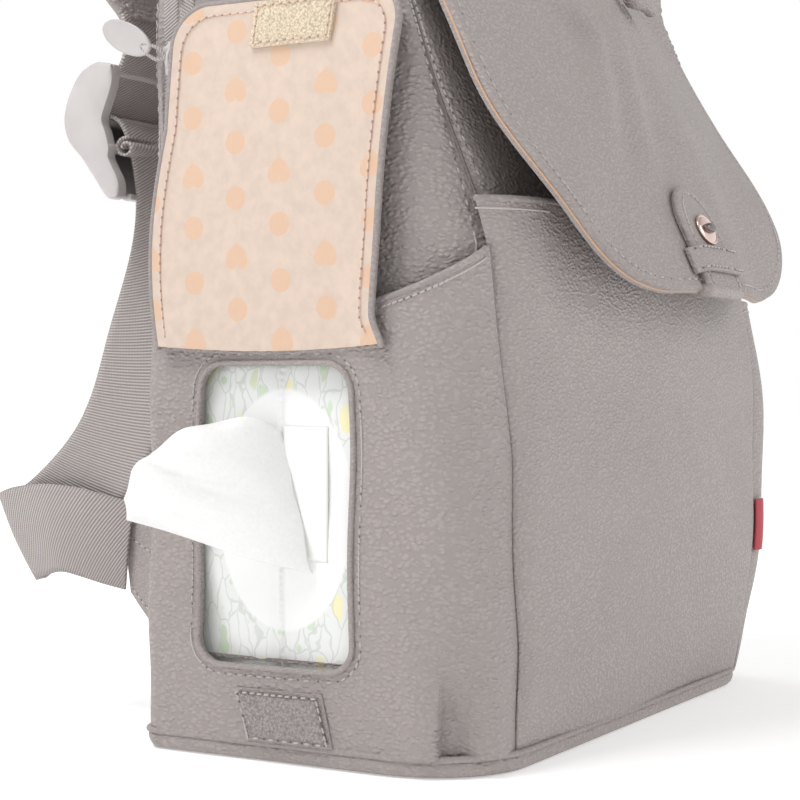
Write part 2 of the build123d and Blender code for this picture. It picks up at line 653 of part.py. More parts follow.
def all_parts():
    """Every node by name."""
    parts = {}
    parts.update(base_parts())
    parts.update(body_parts())
    parts.update(lining_parts())
    parts.update(top_parts())
    parts.update(zip_slider_parts())
    parts.update(front_pocket_parts())
    parts.update(wipes_pocket_parts())
    parts.update(wipes_flap_parts())
    parts.update(wipe_sheet_part())
    parts.update(bottle_pocket_parts())
    parts.update(main_flap_parts())
    wings = []
    anchors = []
    for name, side in (("left", -1), ("right", 1)):
        moving, wing, anchor = strap_parts(name, side)
        parts.update(moving)
        wings.append(wing)
        anchors.append(anchor)
    parts["wing_tabs"] = Compound(wings)
    parts["strap_anchors"] = Compound(anchors)
    parts.update(back_parts())
    return parts


os.makedirs("parts", exist_ok=True)
for node, shape in all_parts().items():
    export_step(shape, os.path.join("parts", node + ".step"))
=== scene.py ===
"""Diaper backpack: leather, cloth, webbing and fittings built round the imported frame."""

import math

import bmesh
import bpy
import numpy as np
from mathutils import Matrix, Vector


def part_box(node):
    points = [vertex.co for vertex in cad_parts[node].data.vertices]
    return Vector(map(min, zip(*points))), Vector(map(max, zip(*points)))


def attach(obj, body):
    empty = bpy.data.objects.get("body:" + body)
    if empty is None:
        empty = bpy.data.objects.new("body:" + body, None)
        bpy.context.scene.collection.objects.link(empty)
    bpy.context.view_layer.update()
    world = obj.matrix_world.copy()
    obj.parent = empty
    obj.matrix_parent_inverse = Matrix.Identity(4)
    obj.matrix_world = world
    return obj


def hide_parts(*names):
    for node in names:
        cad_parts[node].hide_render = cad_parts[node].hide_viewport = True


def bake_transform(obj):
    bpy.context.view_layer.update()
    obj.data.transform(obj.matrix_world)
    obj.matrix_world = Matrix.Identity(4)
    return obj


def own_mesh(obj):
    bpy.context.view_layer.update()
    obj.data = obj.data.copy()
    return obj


bl_info = {
    "name": "Diaper backpack",
    "version": (1, 0, 0),
    "blender": (4, 5, 0),
    "location": "View3D > Sidebar > Bag",
    "description": "Builds the soft goods and fittings of a diaper backpack round its frame",
    "category": "Add Mesh",
}

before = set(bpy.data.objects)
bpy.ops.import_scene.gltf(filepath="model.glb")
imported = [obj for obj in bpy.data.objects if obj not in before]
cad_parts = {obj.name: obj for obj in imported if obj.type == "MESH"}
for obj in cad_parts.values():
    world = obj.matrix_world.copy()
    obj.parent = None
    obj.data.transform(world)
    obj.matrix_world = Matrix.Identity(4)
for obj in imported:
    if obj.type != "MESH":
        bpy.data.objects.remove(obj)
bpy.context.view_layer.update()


def low(node):
    """Lowest corner of a frame node."""
    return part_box(node)[0]


def high(node):
    """Highest corner of a frame node."""
    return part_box(node)[1]


# ---- places taken from the frame, metres ----
BODY_TOP = high("back_panel").z
BACK_Y = high("back_panel").y
SIDE_X = -low("left_gusset").x
POCKET_X = -low("wipes_pocket_panel").x
FRONT_Y = low("front_panel").y
BEND_Z = low("front_yoke").z
HINGE_Z = low("wipes_flap_leather").z
STRAP_X = (low("right_ladder_lock").x + high("right_ladder_lock").x) / 2
LOCK_HALF = (high("right_ladder_lock").x - low("right_ladder_lock").x) / 2
FLAP_HALF = high("main_flap_leather").x
FLAP_TIP = low("main_flap_leather")

WALL = 0.003
FRONT_RADIUS = 0.035
BACK_RADIUS = 0.007
BAND = 0.0072
WINDOW_Y = 0.0095
WINDOW_HALF_Y = 0.035
WINDOW_MID_Z = 0.0965
WINDOW_HALF_Z = 0.0585
WINDOW_ROUND = 0.0105
ZIP_Y = 0.0582
WEB_HALF = 0.0188


# ---- settings ----
class BagColours(bpy.types.PropertyGroup):
    """Colours and grain of the bag's materials."""

    leather: bpy.props.FloatVectorProperty(
        name="Leather", description="Pebbled leather", subtype="COLOR", size=3, default=(0.355, 0.313, 0.300)
    )
    webbing: bpy.props.FloatVectorProperty(
        name="Webbing", description="Twill webbing", subtype="COLOR", size=3, default=(0.43, 0.385, 0.37)
    )
    lining: bpy.props.FloatVectorProperty(
        name="Lining", description="Printed cloth ground", subtype="COLOR", size=3,
        default=(0.68, 0.545, 0.455),
    )
    dots: bpy.props.FloatVectorProperty(
        name="Print", description="Dots and hearts on the lining", subtype="COLOR", size=3,
        default=(0.71, 0.475, 0.325),
    )
    plastic: bpy.props.FloatVectorProperty(
        name="Plastic", description="Moulded buckles and puller", subtype="COLOR", size=3,
        default=(0.50, 0.47, 0.465),
    )
    pebble: bpy.props.FloatProperty(
        name="Pebble", description="Size of one pebble of the grain", unit="LENGTH", default=0.0023
    )


class BagSewing(bpy.types.PropertyGroup):
    """Stitch and edge sizes."""

    pitch: bpy.props.FloatProperty(
        name="Stitch pitch", description="From one stitch to the next", unit="LENGTH", default=0.0036
    )
    length: bpy.props.FloatProperty(
        name="Stitch length", description="Thread seen in one stitch", unit="LENGTH", default=0.0023
    )
    thread: bpy.props.FloatProperty(
        name="Thread radius", description="Half the thread's thickness", unit="LENGTH", default=0.00042
    )
    inset: bpy.props.FloatProperty(
        name="Stitch inset", description="Seam line's distance from an edge", unit="LENGTH", default=0.0035
    )


class BagView(bpy.types.PropertyGroup):
    """Camera place and lens."""

    azimuth: bpy.props.FloatProperty(
        name="Azimuth", description="Camera direction round the bag", subtype="ANGLE",
        default=math.radians(-60.0),
    )
    lens: bpy.props.FloatProperty(name="Lens", description="Focal length in millimetres", default=83.25)
    pitch: bpy.props.FloatProperty(
        name="Pitch", description="Camera tilt below level", subtype="ANGLE", default=math.radians(0.65)
    )
    place: bpy.props.FloatVectorProperty(
        name="Place", description="Camera location", subtype="TRANSLATION", size=3,
        default=(-0.7455, -0.3895, 0.1493),
    )


def colours():
    """The colour settings of this scene."""
    return bpy.context.scene.bag_colours


def sewing():
    """The sewing settings of this scene."""
    return bpy.context.scene.bag_sewing


# ---- mesh helpers ----
def unit(v):
    """Vectors of length one along the last axis."""
    return v / np.maximum(np.linalg.norm(v, axis=-1, keepdims=True), 1e-12)


def ramp(a, b, x):
    """Smooth step from 0 at a to 1 at b."""
    t = np.clip((np.asarray(x, float) - a) / (b - a), 0, 1)
    return t * t * (3 - 2 * t)


def smooth_path(points, count):
    """Catmull-Rom curve through points, evenly spaced by length."""
    p = np.asarray(points, float)
    p = np.vstack([2 * p[0] - p[1], p, 2 * p[-1] - p[-2]])
    t = np.linspace(0, len(p) - 3 - 1e-9, 40 * len(p))
    k = t.astype(int)
    f = (t - k)[:, None]
    a, b, c, d = p[k], p[k + 1], p[k + 2], p[k + 3]
    curve = 0.5 * (2 * b + (c - a) * f + (2 * a - 5 * b + 4 * c - d) * f**2 + (3 * b - a - 3 * c + d) * f**3)
    return even(curve, count)


def even(path, count):
    """A path resampled to count points evenly spaced by length."""
    path = np.asarray(path, float)
    run = np.r_[0, np.cumsum(np.linalg.norm(np.diff(path, axis=0), axis=1))]
    at = np.linspace(0, run[-1], count)
    return np.stack([np.interp(at, run, path[:, i]) for i in range(path.shape[1])], axis=1)


def length_of(path):
    """Length of a path."""
    return float(np.linalg.norm(np.diff(path, axis=0), axis=1).sum())


def put(name, verts, faces, material, uv=None):
    """A smooth-shaded mesh object from arrays, with an optional UV for each vertex."""
    mesh = bpy.data.meshes.new(name)
    mesh.from_pydata(np.asarray(verts, float).reshape(-1, 3).tolist(), [], faces)
    if uv is not None:
        layer = mesh.uv_layers.new(name="UVMap")
        loops = np.empty(len(mesh.loops), np.int32)
        mesh.loops.foreach_get("vertex_index", loops)
        layer.data.foreach_set("uv", np.asarray(uv, np.float32).reshape(-1, 2)[loops].ravel())
    mesh.polygons.foreach_set("use_smooth", [True] * len(mesh.polygons))
    obj = bpy.data.objects.new(name, mesh)
    bpy.context.scene.collection.objects.link(obj)
    obj.data.materials.append(material)
    return obj


def outward(obj, merge=1e-7):
    """Merges doubles and turns every face of a closed mesh outwards."""
    bm = bmesh.new()
    bm.from_mesh(obj.data)
    bmesh.ops.remove_doubles(bm, verts=bm.verts, dist=merge)
    bmesh.ops.recalc_face_normals(bm, faces=bm.faces)
    bm.to_mesh(obj.data)
    bm.free()
    return obj


def quads(rows, cols, wrap=False, start=0):
    """Faces of a grid stored row by row; wrap joins the last column to the first."""
    i = np.arange(rows - 1)[:, None]
    j = np.arange(cols if wrap else cols - 1)[None, :]
    k = (j + 1) % cols
    f = np.stack([i * cols + j, i * cols + k, (i + 1) * cols + k, (i + 1) * cols + j], axis=-1)
    return (f.reshape(-1, 4) + start).tolist()


def grid_normals(p, wrap=False):
    """Normals of a grid of points: the cross product of its two directions."""
    if wrap:
        du = np.roll(p, -1, axis=1) - np.roll(p, 1, axis=1)
    else:
        du = np.gradient(p, axis=1)
    dv = np.gradient(p, axis=0)
    return unit(np.cross(du, dv))


def surface_normal(point, a, b, e=1e-3):
    """Normals of a surface point(a, b): the cross product of its two central differences."""
    du = point(a + e, b) - point(a - e, b)
    dv = point(a, b + e) - point(a, b - e)
    return unit(np.cross(du, dv))


def rim_of(grid):
    """The border of a grid, once round."""
    return np.concatenate([grid[0], grid[:, -1], grid[-1][::-1], grid[:, 0][::-1]])


def sheet_sign(face, centre, wrap=False):
    """Plus one if a grid's normals point away from a centre, else minus one."""
    n = grid_normals(face, wrap)
    return 1.0 if float((n * (face - np.asarray(centre))).sum()) > 0 else -1.0


def soften(obj, width, degrees):
    """Rounds the edges of a mesh that are sharper than an angle."""
    bevel = obj.modifiers.new("edge", "BEVEL")
    bevel.width = width
    bevel.segments = 3
    bevel.limit_method = "ANGLE"
    bevel.angle_limit = math.radians(degrees)


def metre_uv(p):
    """UV in metres: average running length along each direction of the grid."""
    du = np.linalg.norm(np.diff(p, axis=1), axis=2).mean(axis=0)
    dv = np.linalg.norm(np.diff(p, axis=0), axis=2).mean(axis=1)
    u = np.r_[0, np.cumsum(du)]
    v = np.r_[0, np.cumsum(dv)]
    return np.stack(np.meshgrid(u, v), axis=-1)


def slab(name, face, thickness, material, wrap=False, sign=1.0, round_edge=0.0, uv=None, keep=None):
    """A closed sheet: the grid, a copy sunk by thickness against the normal, and a wall on open edges."""
    rows, cols = face.shape[:2]
    inner = face - grid_normals(face, wrap) * thickness * sign
    count = rows * cols
    outer = np.array(quads(rows, cols, wrap))
    if keep is not None:
        outer = outer[keep.ravel()]
    edges = np.stack([outer, np.roll(outer, -1, axis=1)], axis=-1).reshape(-1, 2)
    key = np.sort(edges, axis=1) @ np.array([count, 1])
    once = np.unique(key, return_counts=True)
    a, b = edges[np.isin(key, once[0][once[1] == 1])].T
    walls = np.stack([b, a, a + count, b + count], axis=1)
    faces = np.concatenate([outer, outer[:, ::-1] + count, walls])
    flat = metre_uv(face) if uv is None else uv
    obj = put(name, np.concatenate([face.reshape(-1, 3), inner.reshape(-1, 3)]), faces.tolist(), material,
              np.concatenate([flat.reshape(-1, 2)] * 2))
    drop_loose(obj)
    outward(obj)
    if round_edge:
        soften(obj, round_edge, 50)
    return obj


def drop_loose(obj):
    """Removes points that no face uses."""
    bm = bmesh.new()
    bm.from_mesh(obj.data)
    bmesh.ops.delete(bm, geom=[v for v in bm.verts if not v.link_faces], context="VERTS")
    bm.to_mesh(obj.data)
    bm.free()


def close_ends(obj):
    """Fills any open ring of edges of a mesh."""
    bm = bmesh.new()
    bm.from_mesh(obj.data)
    open_edges = [e for e in bm.edges if len(e.link_faces) == 1]
    if open_edges:
        bmesh.ops.holes_fill(bm, edges=open_edges, sides=0)
    bmesh.ops.recalc_face_normals(bm, faces=bm.faces)
    bm.to_mesh(obj.data)
    bm.free()


def closed_shell(name, rings, mat, uv=None):
    """Rings joined one to the next, their two ends filled."""
    obj = outward(put(name, rings, quads(*rings.shape[:2], True), mat, uv))
    close_ends(obj)
    return obj


def tube_grid(path, radius, sides=12, closed=False, flat=1.0, ref=(0, 0, 1)):
    """Rings round a path; radius may vary along it, and flat squeezes them along ref."""
    path = np.asarray(path, float)
    if closed:
        along = unit(np.roll(path, -1, axis=0) - np.roll(path, 1, axis=0))
    else:
        along = unit(np.gradient(path, axis=0))
    side = unit(np.cross(along, np.asarray(ref, float)))
    up = np.cross(side, along)
    a = np.linspace(0, 2 * np.pi, sides, endpoint=False)
    r = np.broadcast_to(np.asarray(radius, float), (len(path),))[:, None, None]
    return (
        path[:, None]
        + r * (np.cos(a)[None, :, None] * side[:, None] + flat * np.sin(a)[None, :, None] * up[:, None])
    )


def tube(name, path, radius, material, sides=12, closed=False, flat=1.0, ref=(0, 0, 1)):
    """A closed tube along a path, with domed ends where the path is open."""
    path = np.asarray(path, float)
    rings = tube_grid(path, radius, sides, closed, flat, ref)
    if closed:
        rings = np.concatenate([rings, rings[:1]])
    else:
        tip = unit(path[0] - path[1]) * float(np.atleast_1d(radius)[0]) * 0.6
        end = unit(path[-1] - path[-2]) * float(np.atleast_1d(radius)[-1]) * 0.6
        first = path[0] + (rings[0] - path[0]) * 0.7 + tip * 0.7
        last = path[-1] + (rings[-1] - path[-1]) * 0.7 + end * 0.7
        a = np.broadcast_to(path[0] + tip, rings[0].shape)
        b = np.broadcast_to(path[-1] + end, rings[0].shape)
        rings = np.concatenate([[a], [first], rings, [last], [b]])
    n, m = rings.shape[:2]
    run = np.r_[0, np.cumsum(np.linalg.norm(np.diff(rings[:, 0], axis=0), axis=1))]
    uv = np.stack(np.meshgrid(np.linspace(0, 1, m) * 2 * np.pi * np.max(radius), run), axis=-1)
    return outward(put(name, rings, quads(n, m, True), material, uv))


def capsules(name, places, alongs, ups, length, radius, material, squash=1.0):
    """Many small rounded dashes in one mesh, each at a place and along a direction."""
    ends = np.array([-0.5, -0.42, -0.2, 0.2, 0.42, 0.5])
    fat = np.array([0.0, 0.75, 1.0, 1.0, 0.75, 0.0])
    sides = 6
    a = np.linspace(0, 2 * np.pi, sides, endpoint=False)
    reach = np.broadcast_to(np.asarray(length, float), (len(places),))[:, None, None, None]
    size = np.broadcast_to(np.asarray(radius, float), (len(places),))[:, None, None, None]
    alongs = unit(alongs)
    side = unit(np.cross(alongs, ups))
    up = np.cross(side, alongs)
    ring = np.cos(a)[:, None] * side[:, None, None] + squash * np.sin(a)[:, None] * up[:, None, None]
    verts = (
        places[:, None, None] + reach * ends[:, None, None] * alongs[:, None, None]
        + size * fat[:, None, None] * ring
    )
    one = len(ends) * sides
    base = np.array(quads(len(ends), sides, True))
    faces = (base[None] + (np.arange(len(places)) * one)[:, None, None]).reshape(-1, 4)
    return put(name, verts, faces.tolist(), material)


def stitches(name, path, normals, mat=None, lift=0.00015, slant=0.10, hole="needle_hole_painted_shade"):
    """A row of stitches on a surface: a thread dash at each pitch and, in each gap, a dark dash of painted
    shade for the needle hole.
    """
    s = sewing()
    mat = mat or material("thread")
    path = np.asarray(path, float)
    count = max(2, int(length_of(path) / s.pitch))
    both = even(np.concatenate([path, np.broadcast_to(normals, path.shape)], axis=1), 4 * count)
    pts, nrm = both[:, :3], unit(both[:, 3:])
    along = unit(np.gradient(pts, axis=0))
    pick, gap = np.arange(count) * 4 + 2, np.arange(count) * 4
    tilt = along[pick] + slant * np.cross(nrm[pick], along[pick])
    places = np.concatenate([pts[pick] + nrm[pick] * lift, pts[gap] - nrm[gap] * s.thread * 0.35])
    dash = np.repeat([s.length, s.pitch * 0.30], count)
    fat = np.repeat([s.thread, s.thread * 1.05], count)
    row = capsules(
        name, places, np.concatenate([tilt, along[gap]]), np.concatenate([nrm[pick], nrm[gap]]), dash, fat,
        mat, 0.8,
    )
    row.data.materials.append(material(hole))
    each = len(row.data.polygons) // (2 * count)
    row.data.polygons.foreach_set("material_index", np.repeat([0, 1], count * each).astype(np.int32))
    return outward(row, 1e-8)


# ---- material helpers ----
class Maker:
    """Builds one node material."""

    def __init__(self, name):
        self.material = bpy.data.materials.new(name)
        self.material.use_nodes = True
        self.tree = self.material.node_tree
        self.shader = self.tree.nodes["Principled BSDF"]

    def node(self, kind, inputs=None, **settings):
        """A node with its settings, values and links."""
        n = self.tree.nodes.new("ShaderNode" + kind)
        for key, value in settings.items():
            setattr(n, key, value)
        for key, value in (inputs or {}).items():
            self.feed(n.inputs[key], value)
        return n

    def feed(self, socket, value):
        """Links a socket to another or sets its value."""
        if isinstance(value, bpy.types.NodeSocket):
            self.tree.links.new(value, socket)
        else:
            socket.default_value = value

    def math(self, operation, a, b=0.0, c=None):
        """One math node's result."""
        inputs = {0: a, 1: b}
        if c is not None:
            inputs[2] = c
        return self.node("Math", inputs, operation=operation).outputs[0]

    def times(self, a, b):
        """Product."""
        return self.math("MULTIPLY", a, b)

    def plus(self, a, b):
        """Sum."""
        return self.math("ADD", a, b)

    def minus(self, a, b):
        """Difference."""
        return self.math("SUBTRACT", a, b)

    def coords(self, which="Object"):
        """A texture coordinate."""
        return self.node("TexCoord").outputs[which]

    def noise(self, vector, scale, detail=4.0, rough=0.55):
        """Noise value."""
        n = self.node("TexNoise", {"Vector": vector, "Scale": scale, "Detail": detail, "Roughness": rough})
        return n.outputs["Fac"]

    def remap(self, value, a, b, c=0.0, d=1.0):
        """Value mapped from a..b to c..d, clamped."""
        n = self.node("MapRange", {"Value": value, "From Min": a, "From Max": b, "To Min": c, "To Max": d})
        return n.outputs[0]

    def mix(self, fac, a, b):
        """Colour mix."""
        n = self.node("Mix", data_type="RGBA")
        self.feed(n.inputs[0], fac)
        self.feed(n.inputs[6], a if isinstance(a, bpy.types.NodeSocket) else rgba(a))
        self.feed(n.inputs[7], b if isinstance(b, bpy.types.NodeSocket) else rgba(b))
        return n.outputs[2]

    def bump(self, height, distance, strength=1.0, under=None):
        """Bump normal."""
        inputs = {"Height": height, "Distance": distance, "Strength": strength}
        if under is not None:
            inputs["Normal"] = under
        return self.node("Bump", inputs).outputs[0]

    def finish(self, **sockets):
        """Sets the shader's sockets; underscores stand for spaces."""
        for key, value in sockets.items():
            self.feed(self.shader.inputs[key.replace("_", " ")], value)
        return self.material


def rgba(colour):
    """A colour with full alpha."""
    return (*tuple(colour)[:3], 1.0)


def shade(colour, factor):
    """A colour made lighter or darker."""
    return tuple(min(1.0, c * factor) for c in tuple(colour)[:3])


MATERIALS = {}


def material(name):
    """A material made once and shared."""
    if name not in MATERIALS:
        MATERIALS[name] = RECIPES[name]()
    return MATERIALS[name]


def leather(name="pebbled_leather", tone=1.0, pebble=1.0, depth=1.0):
    """Drummed leather: rounded pebbles wider than tall, creases between them darkened by painted shade,
    pores, and a cloudy tone.
    """
    m = Maker(name)
    base = shade(colours().leather, tone)
    size = colours().pebble * pebble
    where = m.coords()
    wander = m.node("TexNoise", {"Vector": where, "Scale": 210.0, "Detail": 3.0}).outputs["Color"]
    push = m.node("VectorMath", {0: wander, 1: (0.5, 0.5, 0.5)}, operation="SUBTRACT").outputs[0]
    push = m.node("VectorMath", {0: push, "Scale": 0.0020 * pebble}, operation="SCALE").outputs[0]
    bent = m.node("VectorMath", {0: where, 1: push}, operation="ADD").outputs[0]
    bent = m.node("Mapping", {"Vector": bent, "Scale": (0.86, 0.86, 1.35)}).outputs[0]
    cells = m.node(
        "TexVoronoi", {"Vector": bent, "Scale": 1.0 / size, "Smoothness": 0.28}, feature="SMOOTH_F1"
    ).outputs["Distance"]
    pebbles = m.node(
        "MapRange", {"Value": cells, "From Min": 0.66, "From Max": 0.12}, interpolation_type="SMOOTHSTEP"
    ).outputs[0]
    small = m.noise(bent, 2.6 / size, 2.0, 0.6)
    patches = m.remap(m.noise(where, 40.0, 2.0), 0.34, 0.66, 0.7, 1.0)
    height = m.math("MULTIPLY_ADD", small, 0.35, m.times(pebbles, patches))
    cloud = m.remap(m.noise(where, 11.0, 3.0), 0.3, 0.7)
    ground = m.mix(cloud, shade(base, 0.95), shade(base, 1.04))
    # painted shade: the colour is darker in the creases between pebbles, where shade falls
    colour = m.mix(m.remap(pebbles, 0.0, 0.45), shade(base, 0.86), ground)
    broad = m.bump(m.noise(where, 27.0, 2.0), 0.0030, 0.4)
    normal = m.bump(height, 0.00075 * depth, 0.9, broad)
    rough = m.remap(pebbles, 0.0, 1.0, 0.60, 0.46)
    return m.finish(
        Base_Color=colour, Roughness=rough, Normal=normal, Specular_IOR_Level=0.45, Coat_Weight=0.10,
        Coat_Roughness=0.4,
    )


def twill():
    """Webbing: slanting ribs across the tape, crossed by fine yarns, on the piece's own UV in metres; painted
    shade in the grooves and painted highlight on the rib tops.
    """
    m = Maker("twill_webbing")
    uv = m.node("SeparateXYZ", {0: m.coords("UV")})
    u, v = uv.outputs[0], uv.outputs[1]
    ribs = m.math(
        "SINE", m.times(m.plus(m.times(u, 0.62), v), 2 * math.pi / 0.0014),
    )
    yarns = m.math(
        "SINE", m.times(m.minus(u, m.times(v, 0.3)), 2 * math.pi / 0.0008),
    )
    height = m.math("MULTIPLY_ADD", yarns, 0.16, m.times(ribs, 0.5))
    fuzz = m.noise(m.coords(), 900.0, 2.0)
    base = colours().webbing
    # painted shade and painted highlight: darker in the grooves, lighter on the rib tops, following the
    # height
    tone = m.mix(m.remap(height, -0.5, 0.45), shade(base, 0.50), shade(base, 1.22))
    colour = m.mix(m.remap(fuzz, 0.3, 0.7, 0.0, 0.35), tone, shade(base, 0.8))
    normal = m.bump(height, 0.0003, 0.9)
    return m.finish(Base_Color=colour, Roughness=0.78, Normal=normal, Sheen_Weight=0.25, Sheen_Roughness=0.5)


def weave(name, ground, thread=0.00045):
    """Plain weave on UV in metres with slubs and a soft cloudy tone."""
    m = Maker(name)
    uv = m.node("SeparateXYZ", {0: m.coords("UV")})
    warp = m.math("SINE", m.times(uv.outputs[0], 2 * math.pi / thread))
    weft = m.math("SINE", m.times(uv.outputs[1], 2 * math.pi / thread))
    cross = m.times(warp, weft)
    slub = m.noise(m.coords(), 220.0, 3.0)
    colour = m.mix(m.remap(slub, 0.3, 0.7), shade(ground, 0.93), shade(ground, 1.04))
    height = m.math("MULTIPLY_ADD", slub, 0.8, m.times(cross, 0.4))
    return m, uv, colour, m.bump(height, 0.00025, 0.6)


def plain_cloth():
    """Peach lining cloth."""
    m, _, colour, normal = weave("peach_cloth", (0.56, 0.36, 0.24))
    return m.finish(Base_Color=colour, Roughness=0.8, Normal=normal, Sheen_Weight=0.2)


def inner_cloth():
    """Cream lining cloth without its print."""
    m = Maker("cream_cloth")
    where = m.coords()
    slub = m.noise(where, 240.0, 3.0)
    yarn = m.node("TexVoronoi", {"Vector": where, "Scale": 1500.0, "Randomness": 0.3}).outputs["Distance"]
    ground = colours().lining
    tone = m.mix(m.remap(slub, 0.3, 0.7), shade(ground, 0.93), shade(ground, 1.04))
    return m.finish(Base_Color=tone, Roughness=0.8, Normal=m.bump(yarn, 0.0002, 0.6), Sheen_Weight=0.2)


def printed_cloth():
    """Cream cloth with columns of dots and hearts, every other column dropped by half a repeat."""
    m, uv, ground, normal = weave("printed_cloth", colours().lining)
    across, drop = 0.0205, 0.0215
    column = m.math("DIVIDE", uv.outputs[0], across)
    odd = m.math("MODULO", m.math("FLOOR", column), 2.0)
    row = m.plus(m.math("DIVIDE", uv.outputs[1], drop), m.times(odd, 0.5))
    x = m.times(m.minus(m.math("FRACT", column), 0.5), across / 0.0046)
    y = m.times(m.minus(m.math("FRACT", row), 0.5), drop / 0.0046)
    x2, y2 = m.times(x, x), m.times(y, y)
    round_one = m.minus(m.plus(x2, y2), 1.0)
    dot = m.remap(round_one, 0.06, -0.06)
    hy = m.minus(m.times(y, -1.0), 0.05)
    hy2 = m.times(hy, hy)
    body = m.minus(m.plus(x2, hy2), 0.95)
    cube = m.times(m.times(body, body), body)
    heart_line = m.minus(cube, m.times(m.times(x2, hy2), hy))
    heart = m.remap(heart_line, 0.03, -0.03)
    step = m.math("MODULO", m.plus(m.math("FLOOR", row), odd), 3.0)
    is_heart = m.math("LESS_THAN", m.math("ABSOLUTE", m.minus(step, 1.0)), 0.5)
    shape = m.plus(m.times(heart, is_heart),
        m.times(dot, m.minus(1.0, is_heart)),
    )
    worn = m.times(shape, m.remap(m.noise(m.coords(), 500.0, 2.0), 0.2, 0.6, 0.7, 0.95))
    colour = m.mix(worn, ground, colours().dots)
    return m.finish(Base_Color=colour, Roughness=0.72, Normal=normal, Sheen_Weight=0.2)


def thread_stuff(name, colour):
    """Sewing thread with a fine twist."""
    m = Maker(name)
    twist = m.noise(m.coords(), 2600.0, 1.0)
    tone = m.mix(twist, shade(colour, 0.75), shade(colour, 1.15))
    return m.finish(Base_Color=tone, Roughness=0.6, Normal=m.bump(twist, 0.0001, 0.5), Sheen_Weight=0.2)


def moulded(name, colour, rough=0.38):
    """Moulded plastic with a very fine texture and faint flow marks."""
    m = Maker(name)
    fine = m.noise(m.coords(), 1800.0, 2.0)
    flow = m.noise(m.coords(), 60.0, 2.0)
    tone = m.mix(m.remap(flow, 0.35, 0.65), shade(colour, 0.96), shade(colour, 1.05))
    return m.finish(
        Base_Color=tone, Roughness=m.remap(flow, 0.3, 0.7, rough - 0.06, rough + 0.06),
        Normal=m.bump(fine, 0.00006, 0.5), Specular_IOR_Level=0.5,
    )


def plated(name, colour, rough):
    """Plated metal with faint brushing."""
    m = Maker(name)
    marks = m.noise(m.coords(), 700.0, 3.0)
    tone = m.mix(marks, shade(colour, 0.92), shade(colour, 1.06))
    return m.finish(
        Base_Color=tone, Metallic=1.0, Roughness=m.remap(marks, 0.3, 0.7, rough * 0.8, rough * 1.25),
        Normal=m.bump(marks, 0.00003, 0.4),
    )


def fuzzy(name, colour, scale, depth):
    """Hook or loop tape: a dense field of tiny loops, with painted shade in the hollows and painted highlight
    on the tops.
    """
    m = Maker(name)
    loops = m.node("TexVoronoi", {"Vector": m.coords(), "Scale": scale}, feature="F1").outputs["Distance"]
    fluff = m.noise(m.coords(), scale * 0.7, 4.0, 0.7)
    height = m.plus(m.times(loops, -0.8), fluff)
    # painted shade and painted highlight: darker in the hollows, lighter on the tops, following the height
    tone = m.mix(m.remap(height, -0.2, 0.6), shade(colour, 0.62), shade(colour, 1.28))
    return m.finish(Base_Color=tone, Roughness=0.95, Normal=m.bump(height, depth, 1.0), Sheen_Weight=0.4)


def film():
    """Glossy white film printed with pale leaves round a plain oval."""
    m = Maker("printed_film")
    xyz = m.node("SeparateXYZ", {0: m.coords()})
    y = m.math("DIVIDE", m.minus(xyz.outputs[1], WINDOW_Y - 0.002), 0.031)
    z = m.math("DIVIDE", m.minus(xyz.outputs[2], WINDOW_MID_Z + 0.002), 0.047)
    ring = m.plus(m.times(y, y), m.times(z, z))
    outside = m.remap(ring, 0.97, 1.03)
    stretched = m.node(
        "Mapping", {"Vector": m.coords(), "Rotation": (0.7, 0.0, 0.0), "Scale": (1.0, 1.0, 0.42)},
    ).outputs[0]
    warp = m.node("TexNoise", {"Vector": m.coords(), "Scale": 90.0}).outputs["Color"]
    warp = m.node("VectorMath", {0: warp, "Scale": 0.006}, operation="SCALE").outputs[0]
    leafy = m.node("VectorMath", {0: stretched, 1: warp}, operation="ADD").outputs[0]
    leaf = m.node("TexVoronoi", {"Vector": leafy, "Scale": 165.0}, feature="F1")
    edge = m.node(
        "TexVoronoi", {"Vector": leafy, "Scale": 165.0}, feature="DISTANCE_TO_EDGE",
    ).outputs["Distance"]
    pick = m.node("SeparateXYZ", {0: leaf.outputs["Color"]})
    here = m.times(m.remap(pick.outputs[0], 0.48, 0.52), m.remap(leaf.outputs["Distance"], 0.46, 0.40),
    )
    green = m.mix(m.remap(pick.outputs[1], 0.60, 0.72), (0.56, 0.68, 0.50), (0.86, 0.80, 0.42))
    paper = (0.78, 0.79, 0.77)
    print_colour = m.mix(m.times(here, 0.8), paper, green)
    lines = m.times(m.remap(edge, 0.05, 0.02), 0.42)
    print_colour = m.mix(lines, print_colour, (0.45, 0.48, 0.44))
    colour = m.mix(outside, (0.86, 0.86, 0.858), print_colour)
    crinkle = m.noise(m.coords(), 75.0, 3.0, 0.5)
    return m.finish(
        Base_Color=colour, Roughness=0.22, Normal=m.bump(crinkle, 0.0015, 0.35), Coat_Weight=0.5,
        Coat_Roughness=0.12,
    )


def wipe_stuff():
    """Thin damp nonwoven cloth: faint crossing fibres, a little light through it."""
    m = Maker("nonwoven_wipe")
    fibres = m.noise(m.coords(), 650.0, 5.0, 0.7)
    emboss = m.node("TexVoronoi", {"Vector": m.coords(), "Scale": 420.0}, feature="F1").outputs["Distance"]
    height = m.math("MULTIPLY_ADD", emboss, 0.5, fibres)
    tone = m.mix(m.remap(fibres, 0.3, 0.7), (0.80, 0.805, 0.80), (0.86, 0.86, 0.855))
    return m.finish(
        Base_Color=tone, Roughness=0.7, Normal=m.bump(height, 0.00025, 0.5), Subsurface_Weight=0.35,
        Subsurface_Radius=(0.004, 0.004, 0.004), Subsurface_Scale=0.6, Sheen_Weight=0.15,
    )


